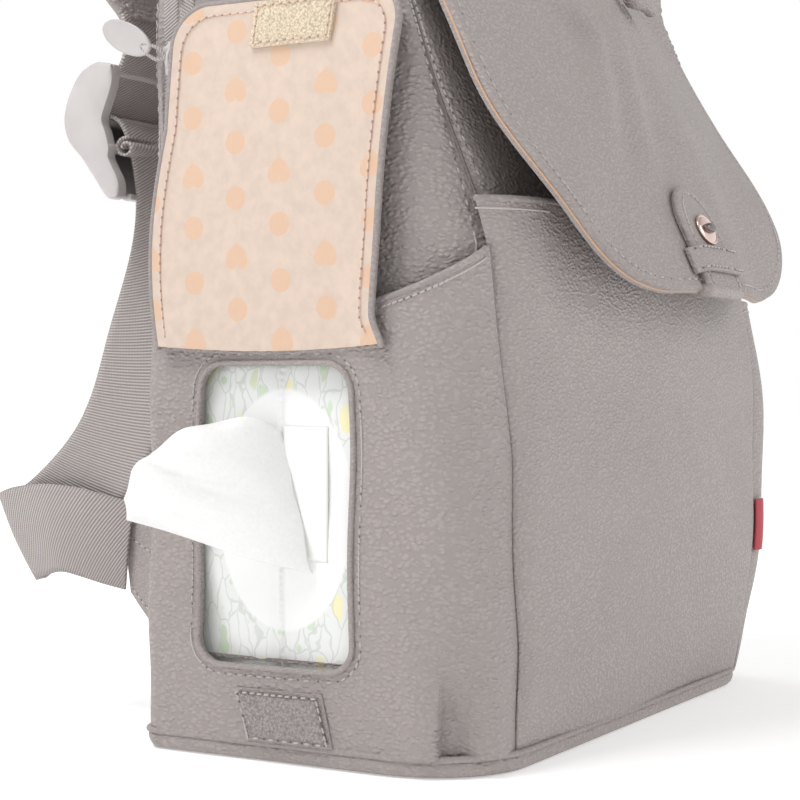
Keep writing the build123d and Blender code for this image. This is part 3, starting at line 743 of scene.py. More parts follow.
def mesh_cloth():
    """Spacer mesh for the back pad."""
    m = Maker("spacer_mesh")
    holes = m.node(
        "TexVoronoi", {"Vector": m.coords(), "Scale": 420.0, "Randomness": 0.15}, feature="F1",
    ).outputs["Distance"]
    base = shade(colours().leather, 0.78)
    # painted shade: the holes are darker, where shade falls inside them
    tone = m.mix(m.remap(holes, 0.15, 0.5), shade(base, 0.45), base)
    return m.finish(Base_Color=tone, Roughness=0.85, Normal=m.bump(holes, 0.0006, 0.9), Sheen_Weight=0.2)


def paper_floor():
    """Pale studio floor that glows, more strongly away from the bag: painted light that keeps the far floor
    white.
    """
    m = Maker("pale_floor")
    grain = m.noise(m.coords(), 30.0, 2.0)
    tone = m.mix(grain, (0.90, 0.90, 0.90), (0.93, 0.93, 0.93))
    away = m.node("VectorMath", {0: m.coords()}, operation="LENGTH")
    # painted light: the floor glows, more strongly with distance from the bag
    return m.finish(
        Base_Color=tone, Roughness=0.9, Normal=m.bump(grain, 0.0002, 0.05),
        Emission_Color=(1.0, 1.0, 1.0, 1.0),
        Emission_Strength=m.remap(away.outputs["Value"], 0.5, 1.6, 0.32, 0.60),
    )


def red_ribbon():
    """Woven red ribbon, left plain."""
    m, _, colour, normal = weave("red_ribbon", (0.42, 0.035, 0.055), 0.0008)
    return m.finish(Base_Color=colour, Roughness=0.6, Normal=normal, Sheen_Weight=0.2)


RECIPES = {
    "leather": leather,
    "leather_mid": lambda: leather("front_leather", 1.0, 0.8, 0.75),
    "leather_fine": lambda: leather("fine_leather", 1.0, 0.62, 0.55),
    "leather_edge": lambda: leather("leather_edge", 0.93, 0.8, 0.4),
    # painted shade: a darker copy of the leather, used for the seam lines and the toggles' open ends
    "leather_painted_shade": lambda: leather("leather_shadow", 0.6, 0.8, 0.5),
    "twill": twill,
    "cloth": plain_cloth,
    "print": printed_cloth,
    "print_plain": inner_cloth,
    "thread": lambda: thread_stuff("grey_thread", (0.47, 0.43, 0.415)),
    "thread_peach": lambda: thread_stuff("peach_thread", (0.74, 0.55, 0.46)),
    "plastic": lambda: moulded("moulded_grey", colours().plastic, 0.36),
    # painted shade: dark dashes in the needle holes between stitches, on the leather and on the lining
    "needle_hole_painted_shade": lambda: thread_stuff("needle_hole_painted_shade", (0.13, 0.11, 0.105)),
    "lining_hole_painted_shade": lambda: thread_stuff("lining_hole_painted_shade", (0.42, 0.27, 0.20)),
    "coil": lambda: moulded("zip_coil", shade(colours().plastic, 0.62), 0.42),
    "rose": lambda: plated("rose_plate", (0.80, 0.60, 0.54), 0.2),
    "dark": lambda: plated("dark_plate", (0.20, 0.17, 0.16), 0.3),
    "hook": lambda: fuzzy("hook_tape", (0.72, 0.60, 0.44), 1100.0, 0.0004),
    "loop": lambda: fuzzy("loop_tape", (0.33, 0.29, 0.28), 900.0, 0.0008),
    "red": red_ribbon,
    "film": film,
    "wipe": wipe_stuff,
    "mesh": mesh_cloth,
    "floor": paper_floor,
}


# ---- the body's surface ----
def ring(s, half_x, front, back, r_front, r_back, out=0.0):
    """Rounded rectangle in plan: s runs 0 to 8 over the left side, a corner, the front, and so on round."""
    s = np.mod(s, 8.0)
    k = np.floor(s).astype(int)
    f = s - k
    rf, rb = r_front, r_back
    ang = np.select([k == 1, k == 3, k == 5, k == 7], [180 + 90 * f, 270 + 90 * f, 90 * f, 90 + 90 * f], 0.0)
    ca, sa = np.cos(np.radians(ang)), np.sin(np.radians(ang))
    zero = 0 * s
    nx = np.select([k == 0, k == 2, k == 4, k == 6], [zero - 1, zero, zero + 1, zero], ca)
    ny = np.select([k == 0, k == 2, k == 4, k == 6], [zero, zero - 1, zero, zero + 1], sa)
    left, right = -half_x + zero, half_x + zero
    x = np.select(
        [k == 0, k == 1, k == 2, k == 3, k == 4, k == 5, k == 6, k == 7],
        [left, left + rf + rf * ca, left + rf + f * (2 * half_x - 2 * rf), right - rf + rf * ca, right,
         right - rb + rb * ca, right - rb - f * (2 * half_x - 2 * rb), left + rb + rb * ca],
    )
    y_front, y_back = front + rf, back - rb
    y = np.select(
        [k == 0, k == 1, k == 2, k == 3, k == 4, k == 5, k == 6, k == 7],
        [y_back + f * (y_front - y_back), y_front + rf * sa, front + zero, y_front + rf * sa,
         y_front + f * (y_back - y_front), y_back + rb * sa, back + zero, y_back + rb * sa],
    )
    return np.stack([x + nx * out, y + ny * out], axis=-1)


def body_point(s, z, out=0.0):
    """Point on the body: a rounded plan leaning back above the pockets, swollen between pinched seams."""
    s, z = np.broadcast_arrays(np.asarray(s, float), np.asarray(z, float))
    lean = np.clip((z - BEND_Z + 0.012) / (BODY_TOP - BEND_Z), 0, 1)
    front = FRONT_Y - 0.003 + 0.043 * (0.8 * lean + 0.2 * lean**2)
    back = BACK_Y + 0.0002 + 0 * z
    half = SIDE_X + 0.0002 + 0 * z
    k = np.mod(s, 8.0)
    f = k - np.floor(k)
    flat = np.sin(np.pi * f) ** 1.2
    swell = np.select(
        [k < 1, (k >= 2) & (k < 3), (k >= 4) & (k < 5), (k >= 6) & (k < 7)],
        [0.0022 * flat, 0.004 * flat, 0.004 * flat, 0.003 * flat], 0.0,
    )
    rise = ramp(0.0, 0.05, z) * (1 - 0.4 * ramp(0.25, BODY_TOP, z))
    belly = 0.016 * np.exp(-(((k - 3.5) / 0.62) ** 2)) * np.sin(
        np.pi * np.clip((z - 0.004) / 0.205, 0, 1)
    ) ** 0.8
    slouch = 0.0016 * np.sin(s * 2.3 + z * 31) * np.sin(z * 47 + s) * rise
    seam = sum(np.exp(-(((k - at) / 0.045) ** 2)) for at in (1.68, 3.28, 5.5, 7.5))
    pinch = 0.0018 * seam * ramp(BEND_Z - 0.01, BEND_Z + 0.02, z)
    total = out + swell * rise + belly + slouch - pinch
    tight = FRONT_RADIUS - (FRONT_RADIUS - 0.007) * ramp(BEND_Z - 0.002, BEND_Z + 0.07, z)
    flat_xy = ring(s, half, front, back, tight, BACK_RADIUS, total)
    return np.concatenate([flat_xy, z[..., None]], axis=-1)


def side_s(y):
    """The plan parameter on the wipes side for a depth y."""
    start, end = BACK_Y - BACK_RADIUS, FRONT_Y - 0.003 + FRONT_RADIUS
    return (start - np.asarray(y, float)) / (start - end)


def plan_steps():
    """Columns round the plan, closer in the corners."""
    parts = [np.linspace(k, k + 1, 26 if k % 2 == 0 else 16, endpoint=False) for k in range(8)]
    return np.concatenate(parts)


def build_body():
    """Leather shell: side, front and back walls in one loft, crowned over the top, with a wall thickness."""
    s = plan_steps()
    z = np.concatenate(
        [
            np.linspace(BAND - 0.002, BODY_TOP - 0.006, 70),
            BODY_TOP - 0.006 + 0.006 * np.sin(np.linspace(0.2, 1, 5) * np.pi / 2),
        ]
    )
    wall = body_point(s[None], z[:, None])
    top = wall[-1]
    middle = np.stack([top[:, 0] * 0.8, np.full(len(s), 0.022), np.full(len(s), BODY_TOP + 0.0006)], axis=-1)
    t = np.linspace(0.03, 1.0, 10)[:, None, None]
    crown = top[None] * (1 - t) + middle[None] * t
    grid = np.concatenate([wall, crown])
    middle = (grid[:-1] + grid[1:]) / 2
    hole = (np.abs(middle[..., 1] - WINDOW_Y) < WINDOW_HALF_Y + 0.009) & (middle[..., 0] < -0.1)
    hole &= np.abs(middle[..., 2] - WINDOW_MID_Z) < WINDOW_HALF_Z + 0.009
    shell = slab("body_shell", grid, WALL, material("leather"), wrap=True, keep=~hole)
    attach(shell, "bag")
    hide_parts("left_gusset", "right_gusset", "front_panel", "back_panel", "front_yoke",
                "top_front_facing", "top_back_facing")
    for label, at in (("front_left", 1.68), ("front_right", 3.28), ("back_left", 7.5), ("back_right", 5.5)):
        zz = np.linspace(BEND_Z - 0.02 if "front" in label else BAND, BODY_TOP - 0.006, 60)
        line = body_point(np.full(60, at), zz, 0.0006)
        # a thin bead along the seam in darker leather: painted shade in the seam's crease
        cord = tube(f"{label}_seam_fold_painted_shade", line, 0.0007, material("leather_painted_shade"), 6, ref=(0, 1, 0.1))
        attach(cord, "bag")
        for side in (-1, 1):
            ss = np.full(60, at + side * 0.09)
            normals = surface_normal(body_point, ss, zz)
            mark = "b" if side > 0 else "a"
            row = stitches(f"{label}_seam_stitches_{mark}", body_point(ss, zz), normals)
            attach(row, "bag")


def base_ring(s, out):
    """Plan of the base: as the body but out to the pockets."""
    half, front, back = POCKET_X - 0.0002, FRONT_Y - 0.0075, BACK_Y + 0.004
    return ring(s, half, front, back, FRONT_RADIUS + 0.006, BACK_RADIUS + 0.002, out)


def build_base():
    """Base: flat leather sheet rolled up into a band, a piping bead round its top edge."""
    s = plan_steps()
    profile = [
        (-0.07, 0.0), (-0.02, 0.0), (-0.005, 0.0), (-0.0018, 0.0006), (-0.0004, 0.002), (0.0004, 0.0042),
        (0.0002, 0.0058), (-0.0006, BAND), (-0.0035, BAND + 0.0008), (-0.012, BAND + 0.0008),
    ]
    rows = []
    for out, z in profile:
        ripple = 0.0004 * np.sin(s * 9.0) * (z > 0.001)
        xy = base_ring(s, out + ripple)
        rows.append(np.concatenate([xy, np.full((len(s), 1), z)], axis=1))
    low_mid = rows[0] * np.array([0.5, 0.05, 1.0])
    high_mid = rows[-1] * np.array([0.5, 0.05, 1.0])
    grid = np.stack([low_mid] + rows + [high_mid])
    base = closed_shell("base_cover", grid, material("leather"))
    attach(base, "bag")
    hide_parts("base_sheet", "base_binding", "base_board")
    bead = np.concatenate([base_ring(s, 0.0), np.full((len(s), 1), BAND + 0.0004)], axis=1)
    piping = tube("base_piping_bead", bead, 0.0013, material("leather_edge"), 10, closed=True)
    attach(piping, "bag")
    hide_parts("base_piping")


# ---- wipes pocket ----
def window_line(t, grow=0.0):
    """Rounded rectangle round the window: (y, z) for t in 0..1, corners as arcs."""
    hy, hz, r = WINDOW_HALF_Y + grow, WINDOW_HALF_Z + grow, WINDOW_ROUND + grow
    corners = []
    for cy, cz, a0 in ((1, 1, 0), (-1, 1, 90), (-1, -1, 180), (1, -1, 270)):
        a = np.radians(np.linspace(a0, a0 + 90, 16))
        corners.append(
            np.stack(
                [WINDOW_Y + cy * (hy - r) + r * np.cos(a), WINDOW_MID_Z + cz * (hz - r) + r * np.sin(a)],
                axis=1,
            )
        )
    line = np.concatenate(corners + [corners[0][:1]])
    run = np.r_[0, np.cumsum(np.linalg.norm(np.diff(line, axis=0), axis=1))]
    at = np.asarray(t, float) * run[-1]
    return np.stack([np.interp(at, run, line[:, i]) for i in range(2)], axis=1)


PANEL_OUT = 0.0042
PANEL_BACK_S = -0.45
MOUTH_TIP = 0.1990


def seam_s(z):
    """Plan parameter of the corner seam: round on the front at the foot, nearer the side at the mouth."""
    return np.interp(np.asarray(z, float), [0.0, 0.05, 0.12, 0.17, 0.22], [1.90, 1.90, 1.82, 1.70, 1.58])


def panel_top(s):
    """Height of the wipes pocket's mouth: level at the back, dipping, then rising to the front seam."""
    return (
        0.1765 + (MOUTH_TIP - 0.1765) * np.clip((s - 0.62) / (float(seam_s(MOUTH_TIP)) - 0.62), 0, 1) ** 2.0
    )


def panel_point(s, z, out=0.0):
    """Point on the wipes pocket: proud of the body, slack at its mouth, pleated at the front foot."""
    s, z = np.broadcast_arrays(np.asarray(s, float), np.asarray(z, float))
    mouth = ramp(0.12, 0.19, z) * np.exp(-(((s - 1.25) / 0.45) ** 2))
    puff = 0.0022 * np.exp(-(((s - 1.45) / 0.35) ** 2)) * ramp(0.0, 0.06, z)
    pleat = 2.5 * ramp(1.33, 1.36, s) * (1 - ramp(1.37, 1.68, s)) * ramp(0.046, 0.016, z)
    fold = 0.0030 * np.exp(-(((s - 1.66) / 0.12) ** 2)) * ramp(0.080, 0.020, z)
    fold = fold + 0.0016 * np.exp(-(((s - 1.22) / 0.08) ** 2)) * ramp(0.06, 0.010, z)
    sag = 0.0009 * np.sin(z * 60 + s * 5) * np.exp(-(((s - 1.2) / 0.4) ** 2))
    tuck = 0.0015 * np.exp(-(((s - seam_s(z)) / 0.06) ** 2))
    return body_point(s, z, out + PANEL_OUT + 0.003 * mouth + puff - 0.003 * pleat + fold + sag - tuck)


def on_panel(name, ss, zz, lift=0.0):
    """Stitches on the wipes pocket along (s, z)."""
    path = panel_point(ss, zz, lift)
    row = stitches(name, path, surface_normal(panel_point, ss, zz))
    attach(row, "bag")


def build_wipes_pocket():
    """Pocket panel from the window's edge out to its outline, with its rim, a corner seam line of painted
    shade, hem and stitches.
    """
    per = 60
    a = np.linspace(0, 1, per, endpoint=False)
    # the outline: up the back edge, along the mouth, down the front seam and back along the foot
    tip, foot = float(seam_s(MOUTH_TIP)), float(seam_s(BAND))
    zb, zf = BAND + 0.0003, MOUTH_TIP
    run_top = PANEL_BACK_S + (tip - PANEL_BACK_S) * a
    back_up = np.stack([np.full(per, PANEL_BACK_S), zb + (panel_top(PANEL_BACK_S) - zb) * a], axis=1)
    over = np.stack([run_top, panel_top(run_top)], axis=1)
    down = zf + (zb - zf) * a
    front_down = np.stack([seam_s(down), down], axis=1)
    under = np.stack([foot + (PANEL_BACK_S - foot) * a, np.full(per, zb)], axis=1)
    outline = np.concatenate([back_up, over, front_down, under])
    # each stretch of the window's line from corner to corner faces one stretch of the outline
    corners = window_corner_ts()
    inner = window_line(
        np.concatenate([np.mod(t0 + (t1 - t0) * a, 1.0) for t0, t1 in zip(corners, corners[1:])])
    )
    start = np.stack([side_s(inner[:, 0]), inner[:, 1]], axis=1)
    v = np.r_[0, 0.02, 0.05, np.linspace(0.1, 1.0, 34)][:, None, None]
    flat = start[None] * (1 - v) + outline[None] * v
    face = panel_point(flat[..., 0], flat[..., 1])
    sign = sheet_sign(face, (0, 0, 0.15), True)
    panel = slab("wipes_pocket_leather", face, WALL * 0.75, material("leather"), True, sign, 0.0007)
    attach(panel, "bag")
    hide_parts("wipes_pocket_panel")
    tt = np.linspace(0, 1, 240, endpoint=False)
    rim_yz = window_line(tt, 0.0005)
    rim_path = panel_point(side_s(rim_yz[:, 0]), rim_yz[:, 1], 0.0004)
    rim = tube(
        "window_rolled_rim", rim_path, 0.0012, material("leather_fine"), 12, closed=True, ref=(1, 0, 0),
    )
    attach(rim, "bag")
    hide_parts("window_rim")
    stitch_yz = window_line(np.linspace(0, 1, 300), 0.0040)
    on_panel("window_stitches", side_s(stitch_yz[:, 0]), stitch_yz[:, 1])
    ss = np.linspace(0.45, tip - 0.02, 120)
    on_panel("wipes_pocket_mouth_stitches", ss, panel_top(ss) - sewing().inset)
    hem_line = panel_point(ss, panel_top(ss) - 0.0006, -0.0008)
    hem = tube("wipes_pocket_folded_hem", hem_line, 0.0015, material("leather_edge"), 10, ref=(0, 0, 1))
    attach(hem, "bag")
    zz = np.linspace(BAND + 0.002, MOUTH_TIP, 90)
    # a thin bead along the corner seam in darker leather: painted shade in the tucked seam
    seam = tube("pocket_corner_seam_painted_shade", panel_point(seam_s(zz), zz, -0.0008), 0.0009,
                material("leather_painted_shade"), 8, ref=(0, 1, 0.1))
    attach(seam, "bag")


def window_corner_ts():
    """Where the window's corners lie along its line: back foot, back top, front top, front foot."""
    t = np.linspace(0, 1, 4001)
    yz = window_line(t)
    found = []
    for cy, cz in ((1, -1), (1, 1), (-1, 1), (-1, -1)):
        corner = np.array([WINDOW_Y + cy * WINDOW_HALF_Y, WINDOW_MID_Z + cz * WINDOW_HALF_Z])
        found.append(t[int(np.argmin(((yz - corner) ** 2).sum(axis=1)))])
    found.append(found[0] + 1.0)
    for k in range(1, 5):
        while found[k] < found[k - 1]:
            found[k] += 1.0
    return found


def build_wipes_pack():
    """Film pillow seen through the window: swollen middle, crimped upright seam, soft creases."""
    y = np.linspace(WINDOW_Y - WINDOW_HALF_Y - 0.005, WINDOW_Y + WINDOW_HALF_Y + 0.005, 90)
    z = np.linspace(WINDOW_MID_Z - WINDOW_HALF_Z - 0.006, WINDOW_MID_Z + WINDOW_HALF_Z + 0.006, 140)
    yy, zz = np.meshgrid(y, z)
    fy = (yy - y[0]) / (y[-1] - y[0])
    fz = (zz - z[0]) / (z[-1] - z[0])
    dome = np.maximum(np.sin(np.pi * fy) * np.sin(np.pi * fz), 0) ** 0.3
    seam_y = 0.0092
    ridge = 0.0013 * np.exp(-(((yy - seam_y) / 0.0009) ** 2)) * (1 + 0.35 * np.sin(zz * 2300))
    dips = 0.0007 * np.sin(zz * 120 + np.sin(yy * 90) * 2) * np.abs(yy - seam_y) / 0.03
    gather = -0.0012 * np.exp(-(((yy - seam_y) / 0.004) ** 2))
    x = -(POCKET_X - 0.0058) - 0.0042 * dome - ridge - gather - dips
    front = np.stack([x, yy, zz], axis=-1)
    back = np.stack([np.full_like(x, high("wipes_pack").x), yy, zz], axis=-1)
    rows, cols = x.shape
    count = rows * cols
    faces = quads(rows, cols) + [f[::-1] for f in quads(rows, cols, False, count)]
    idx = np.arange(count).reshape(rows, cols)
    for line in (idx[0], idx[-1][::-1], idx[:, 0][::-1], idx[:, -1]):
        faces += np.stack([line[1:], line[:-1], line[:-1] + count, line[1:] + count], axis=1).tolist()
    pack = outward(
        put(
            "wipes_pack_film", np.concatenate([front.reshape(-1, 3), back.reshape(-1, 3)]), faces,
            material("film"),
        )
    )
    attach(pack, "bag")
    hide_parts("wipes_pack")
    label_y = np.linspace(-0.0130, 0.0070, 12)
    label_z = np.linspace(0.079, 0.131, 30)
    ly, lz = np.meshgrid(label_y, label_z)
    fold = 0.0004 * (ly - label_y[0]) / (label_y[-1] - label_y[0])
    label = np.stack([np.full_like(ly, -(POCKET_X - 0.0016)) - fold, ly, lz], axis=-1)
    peel = slab("pack_opening_strip", label, 0.0003, cream_paper(), sign=sheet_sign(label, (0, 0, 0.1)))
    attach(peel, "bag")


def cream_paper():
    """Cream adhesive strip of the pack's opening."""
    m = Maker("cream_strip")
    tone = m.mix(m.noise(m.coords(), 300.0), (0.86, 0.86, 0.83), (0.90, 0.90, 0.88))
    return m.finish(Base_Color=tone, Roughness=0.4, Normal=m.bump(m.noise(m.coords(), 120.0), 0.0004, 0.3))


def build_wipe():
    """The wipe: gathered in the pack's slit and fanning out, with folds running from the slit."""
    t = np.linspace(0, 1, 70)[:, None]
    u = np.linspace(0, 1, 90)[None, :]
    root_top, root_low = np.array([-0.1490, 0.0086, 0.129]), np.array([-0.1500, -0.0075, 0.075])
    mid_top, mid_low = np.array([-0.1620, 0.0120, 0.1375]), np.array([-0.1680, 0.0200, 0.0830])
    end_top, end_low = np.array([-0.1700, 0.0260, 0.1335]), np.array([-0.1770, 0.0640, 0.0940])

    def bend(a, b, c, t):
        """Quadratic curve from a by b to c."""
        return a * (1 - t) ** 2 + 2 * b * t * (1 - t) + c * t**2

    t3, u3 = t[..., None], u[..., None]
    edge_a = bend(root_top, mid_top, end_top, t3)
    edge_b = bend(root_low, mid_low, end_low, t3)
    p = edge_a * (1 - u3) + edge_b * u3
    free = np.sin(np.pi * u)
    p[..., 1] += 0.010 * free * t**2
    p[..., 2] += 0.003 * free * t**2
    folds = (
        0.0030 * np.sin(u * 12 + 1.8 * t) + 0.0011 * np.abs(np.sin(u * 14 - 2 * t))
        + 0.0022 * np.sin(u * 6 - t * 4)
    )
    p[..., 0] += folds * (0.35 + 0.65 * t) - 0.006 * free * np.sin(np.pi * t * 0.8)
    p[..., 2] += 0.0012 * np.sin(u * 17 + t * 5) * t
    ragged = 0.0015 * np.sin(u * 13 + 1.2) * ramp(0.6, 1.0, t)
    p[..., 1] += ragged
    wipe = slab("wipe_tissue", p, 0.00035, material("wipe"), sign=1.0)
    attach(wipe, "bag")
    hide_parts("wipe_sheet")
    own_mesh(wipe)


def build_loop_patch():
    """Loop tape sewn below the window, with a stitched border."""
    def grid(grow, lift, rows=14, cols=26):
        """A slightly slanted patch on the pocket."""
        u, v = np.meshgrid(np.linspace(0, 1, cols), np.linspace(0, 1, rows))
        y = (0.0222 + grow) * (1 - u) + (-0.0125 - grow) * u + 0.004 * (v - 0.5)
        z = 0.0105 - grow + (0.0165 + 2 * grow) * v
        return y, panel_point(side_s(y), z, lift), z

    _, border, _ = grid(0.0022, 0.0009)
    edge = slab(
        "loop_patch_border", border, 0.0009, material("leather_fine"), sign=sheet_sign(border, (0, 0, 0)),
        round_edge=0.0003,
    )
    _, face, _ = grid(0.0, 0.0024)
    patch = slab(
        "loop_patch_tape", face, 0.0016, material("loop"), sign=sheet_sign(face, (0, 0, 0)),
        round_edge=0.0004,
    )
    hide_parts("loop_patch")
    for piece in (edge, patch):
        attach(piece, "bag")
    y, _, z = grid(0.0006, 0.0, 40, 60)
    on_panel("loop_patch_stitches", side_s(rim_of(y)), rim_of(z), 0.0024)


# ---- wipes flap ----
def wipes_flap_point(u, v, out=0.0, inset=0.0):
    """Open cover: u from back to front, v up; leaning sides, round top corners, the sheet bowed out."""
    u, v = np.broadcast_arrays(np.asarray(u, float), np.asarray(v, float))
    bottom, top = HINGE_Z + 0.001 + inset, high("wipes_flap_leather").z + 0.001 - inset
    half, radius = 0.0525 - inset, 0.016 - inset * 0.5
    across = (2 * u - 1)
    over = np.clip(np.abs(across) * half - (half - radius), 0, radius)
    crown = top - radius + np.sqrt(radius**2 - over**2)
    z = bottom + v * (crown - bottom)
    h = (z - bottom) / (top - bottom)
    rise = np.clip((z - 0.160) / 0.140, 0, 1)
    y_back = 0.0635 + 0.0045 * np.sin(np.pi * np.clip(rise * 1.6, 0, 1)) - 0.0110 * rise**1.3 - inset
    y_front = -0.0385 - 0.0045 * ramp(0.10, 0.0, rise) - 0.0145 * rise**2.2 + inset
    y = y_back + (y_front - y_back) * u
    away = 0.0008 + 0.0016 * np.sin(np.pi * np.clip(h, 0, 1))
    curl = 0.004 * ramp(0.7, 1.0, across) * ramp(0.35, 0.0, h) + 0.002 * np.abs(across) ** 3 * h
    sag = 0.0022 * np.sin(np.pi * u) * ramp(0.12, 0.0, h)
    wave = 0.0008 * np.sin(5.5 * u + 3 * h) * np.sin(np.pi * h)
    x = -(POCKET_X + 0.0032) - away - curl + wave - out
    return np.stack([x, y, z - sag], axis=-1)


def build_wipes_flap():
    """Cover of the window, folded up: leather behind, printed lining in front, hook strip at the tip."""
    v = np.linspace(0, 1, 70)[:, None]
    corner = np.sin(np.linspace(-np.pi / 2, np.pi / 2, 60)) * 0.5 + 0.5
    u = corner[None, :]
    pieces = []
    back = wipes_flap_point(u, v, 0.0)
    sign = sheet_sign(back, (0, 0.01, 0.23))
    hide = slab("wipes_flap_hide", back, 0.0019, material("leather"), sign=sign, round_edge=0.0005)
    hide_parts("wipes_flap_leather")
    pieces.append(hide)
    front = wipes_flap_point(u, v, 0.0012, 0.0012)
    uv = np.stack([front[..., 1] + 0.1095, front[..., 2] - 0.1655], axis=-1)
    lining = slab("wipes_flap_print", front, 0.0011, material("print"), sign=sign, uv=uv, round_edge=0.0004)
    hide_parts("wipes_flap_lining")
    pieces.append(lining)
    turned = tube(
        "wipes_flap_turned_edge", outline_of(lambda a, b: wipes_flap_point(a, b, 0.0004, 0.0004)), 0.0012,
        material("leather_edge"), 8, ref=(1, 0, 0),
    )
    pieces.append(turned)
    hook_u, hook_v = np.meshgrid(np.linspace(0.37, 0.72, 24), np.linspace(0.855, 0.985, 14))
    hook = wipes_flap_point(hook_u, hook_v, 0.0030)
    tape = slab("hook_tape_strip", hook, 0.0017, material("hook"), sign=sign, round_edge=0.0003)
    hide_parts("hook_strip")
    pieces.append(tape)
    line = outline_of(lambda a, b: wipes_flap_point(a, b, 0.0014, 0.0052))
    pieces.append(
        stitches(
            "wipes_flap_stitches", line, np.broadcast_to([-1.0, 0, 0], line.shape),
            material("thread_peach"), hole="lining_hole_painted_shade",
        )
    )
    loop = np.concatenate([np.stack([np.linspace(0.385, 0.705, 30), np.full(30, 0.868)], 1),
                           np.stack([np.full(12, 0.705), np.linspace(0.868, 0.972, 12)], 1),
                           np.stack([np.linspace(0.705, 0.385, 30), np.full(30, 0.972)], 1),
                           np.stack([np.full(12, 0.385), np.linspace(0.972, 0.868, 12)], 1)])
    border = wipes_flap_point(loop[:, 0], loop[:, 1], 0.0031)
    pieces.append(
        stitches(
            "hook_tape_stitches", border, np.broadcast_to([-1.0, 0, 0], border.shape),
            material("thread_peach"), hole="lining_hole_painted_shade",
        )
    )
    for piece in pieces:
        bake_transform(piece)


def outline_of(point, count=70):
    """Left edge up, over the top, right edge down, of a (u, v) surface."""
    a = np.linspace(0.0, 1.0, count)
    over = np.sin(np.linspace(-np.pi / 2, np.pi / 2, 2 * count)) * 0.5 + 0.5
    up = point(np.zeros(count), a)
    top = point(over, np.ones(2 * count))
    down = point(np.ones(count), a[::-1])
    return even(np.concatenate([up, top[1:], down[1:]]), 4 * count)


# ---- front and side pockets ----
FRONT_MOUTH = 0.2165
FRONT_END_S = 3.12


def front_point(s, z, out=0.0):
    """Front pocket: seamed at the corners, swelling in the middle, slack at its mouth."""
    s, z = np.broadcast_arrays(np.asarray(s, float), np.asarray(z, float))
    start = seam_s(z)
    f = np.clip((s - start) / (FRONT_END_S - start), 0, 1)
    arch = np.sin(np.pi * f) ** 0.7
    swell = (
        0.0035 + 0.0095 * arch * ramp(0.0, 0.04, z) * (0.75 + 0.25 * np.sin(np.pi * np.clip(z / 0.2, 0, 1)))
    )
    slack = 0.003 * np.sin(np.pi * f) * ramp(0.15, FRONT_MOUTH, z)
    ease = 0.0012 * np.sin(z * 33 + s * 6) * np.sin(np.pi * f)
    straight = np.clip((z - BEND_Z + 0.012) / (BODY_TOP - BEND_Z), 0, 1) * 0.03
    return body_point(s, z, out + swell + slack + ease + straight)


def build_front_pocket():
    """Front pocket face with a turned hem, stitches and side tag."""
    end = FRONT_END_S
    z = np.linspace(BAND + 0.0006, FRONT_MOUTH, 80)[:, None]
    start = seam_s(z)
    face = front_point(start + (end - start) * np.linspace(0, 1, 120)[None], z)
    pocket = slab(
        "front_pocket_leather", face, WALL * 0.8, material("leather_mid"),
        sign=sheet_sign(face, (0, 0, 0.1)), round_edge=0.0008,
    )
    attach(pocket, "bag")
    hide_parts("front_pocket_face", "front_pocket_gussets")
    ss = np.linspace(float(seam_s(FRONT_MOUTH)) + 0.01, end - 0.01, 160)
    zz = np.full(160, FRONT_MOUTH - 0.0037)
    row = stitches(
        "front_pocket_stitches", front_point(ss, zz), surface_normal(front_point, ss, zz),
    )
    hem = tube(
        "front_pocket_turned_hem", front_point(ss, np.full(160, FRONT_MOUTH), -0.001), 0.0014,
        material("leather_edge"), 10,
    )
    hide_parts("front_pocket_hem")
    zz = np.linspace(BAND + 0.002, FRONT_MOUTH, 90)
    # a thin bead along the corner seam in darker leather: painted shade in the seam
    seam = tube(
        "right_corner_seam_painted_shade", front_point(np.full(90, end), zz, -0.0006), 0.0011, material("leather_painted_shade"),
        8, ref=(0, 1, 0.1),
    )
    for piece in (row, hem, seam):
        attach(piece, "bag")
    tag = low("side_tag")
    u, v = np.meshgrid(np.linspace(0, 1, 10), np.linspace(0, 1, 16))
    root = front_point(np.full(u.shape, end - 0.02), tag.z + v * 0.025)
    face = root + np.stack([0.0105 * u, -0.0015 - 0.0015 * np.sin(np.pi * u), 0 * u], axis=-1)
    ribbon = slab(
        "side_tag_ribbon", face, 0.0012, material("red"), sign=sheet_sign(face, (0, 0, 0.08)),
        round_edge=0.0004,
    )
    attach(ribbon, "bag")
    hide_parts("side_tag")


def build_side_pocket():
    """Open pocket on the far side, eased outwards, with a bound mouth."""
    s = np.linspace(FRONT_END_S, 5.45, 110)[None]
    top = 0.186
    z = np.linspace(BAND + 0.0006, top, 60)[:, None]

    def point(s, z, out=0.0):
        """Far-side pocket surface."""
        f = np.clip((s - FRONT_END_S) / (5.45 - FRONT_END_S), 0, 1)
        return body_point(s, z, out + 0.004 + 0.005 * np.sin(np.pi * f) * ramp(0.0, 0.1, z))

    face = point(s, z)
    pocket = slab(
        "side_pocket_leather", face, WALL * 0.8, material("leather"), sign=sheet_sign(face, (0, 0, 0.1)),
        round_edge=0.0008,
    )
    ss = np.linspace(3.13, 5.44, 140)
    hem = tube(
        "side_pocket_turned_hem", point(ss, np.full(140, top), -0.001), 0.0014, material("leather_edge"),
        10,
    )
    n = unit(point(ss, np.full(140, top), 0.01) - point(ss, np.full(140, top)))
    row = stitches("side_pocket_stitches", point(ss, np.full(140, top - 0.0037)), n)
    for piece in (pocket, hem, row):
        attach(piece, "bag")
    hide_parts("bottle_pocket_face", "bottle_pocket_gussets")


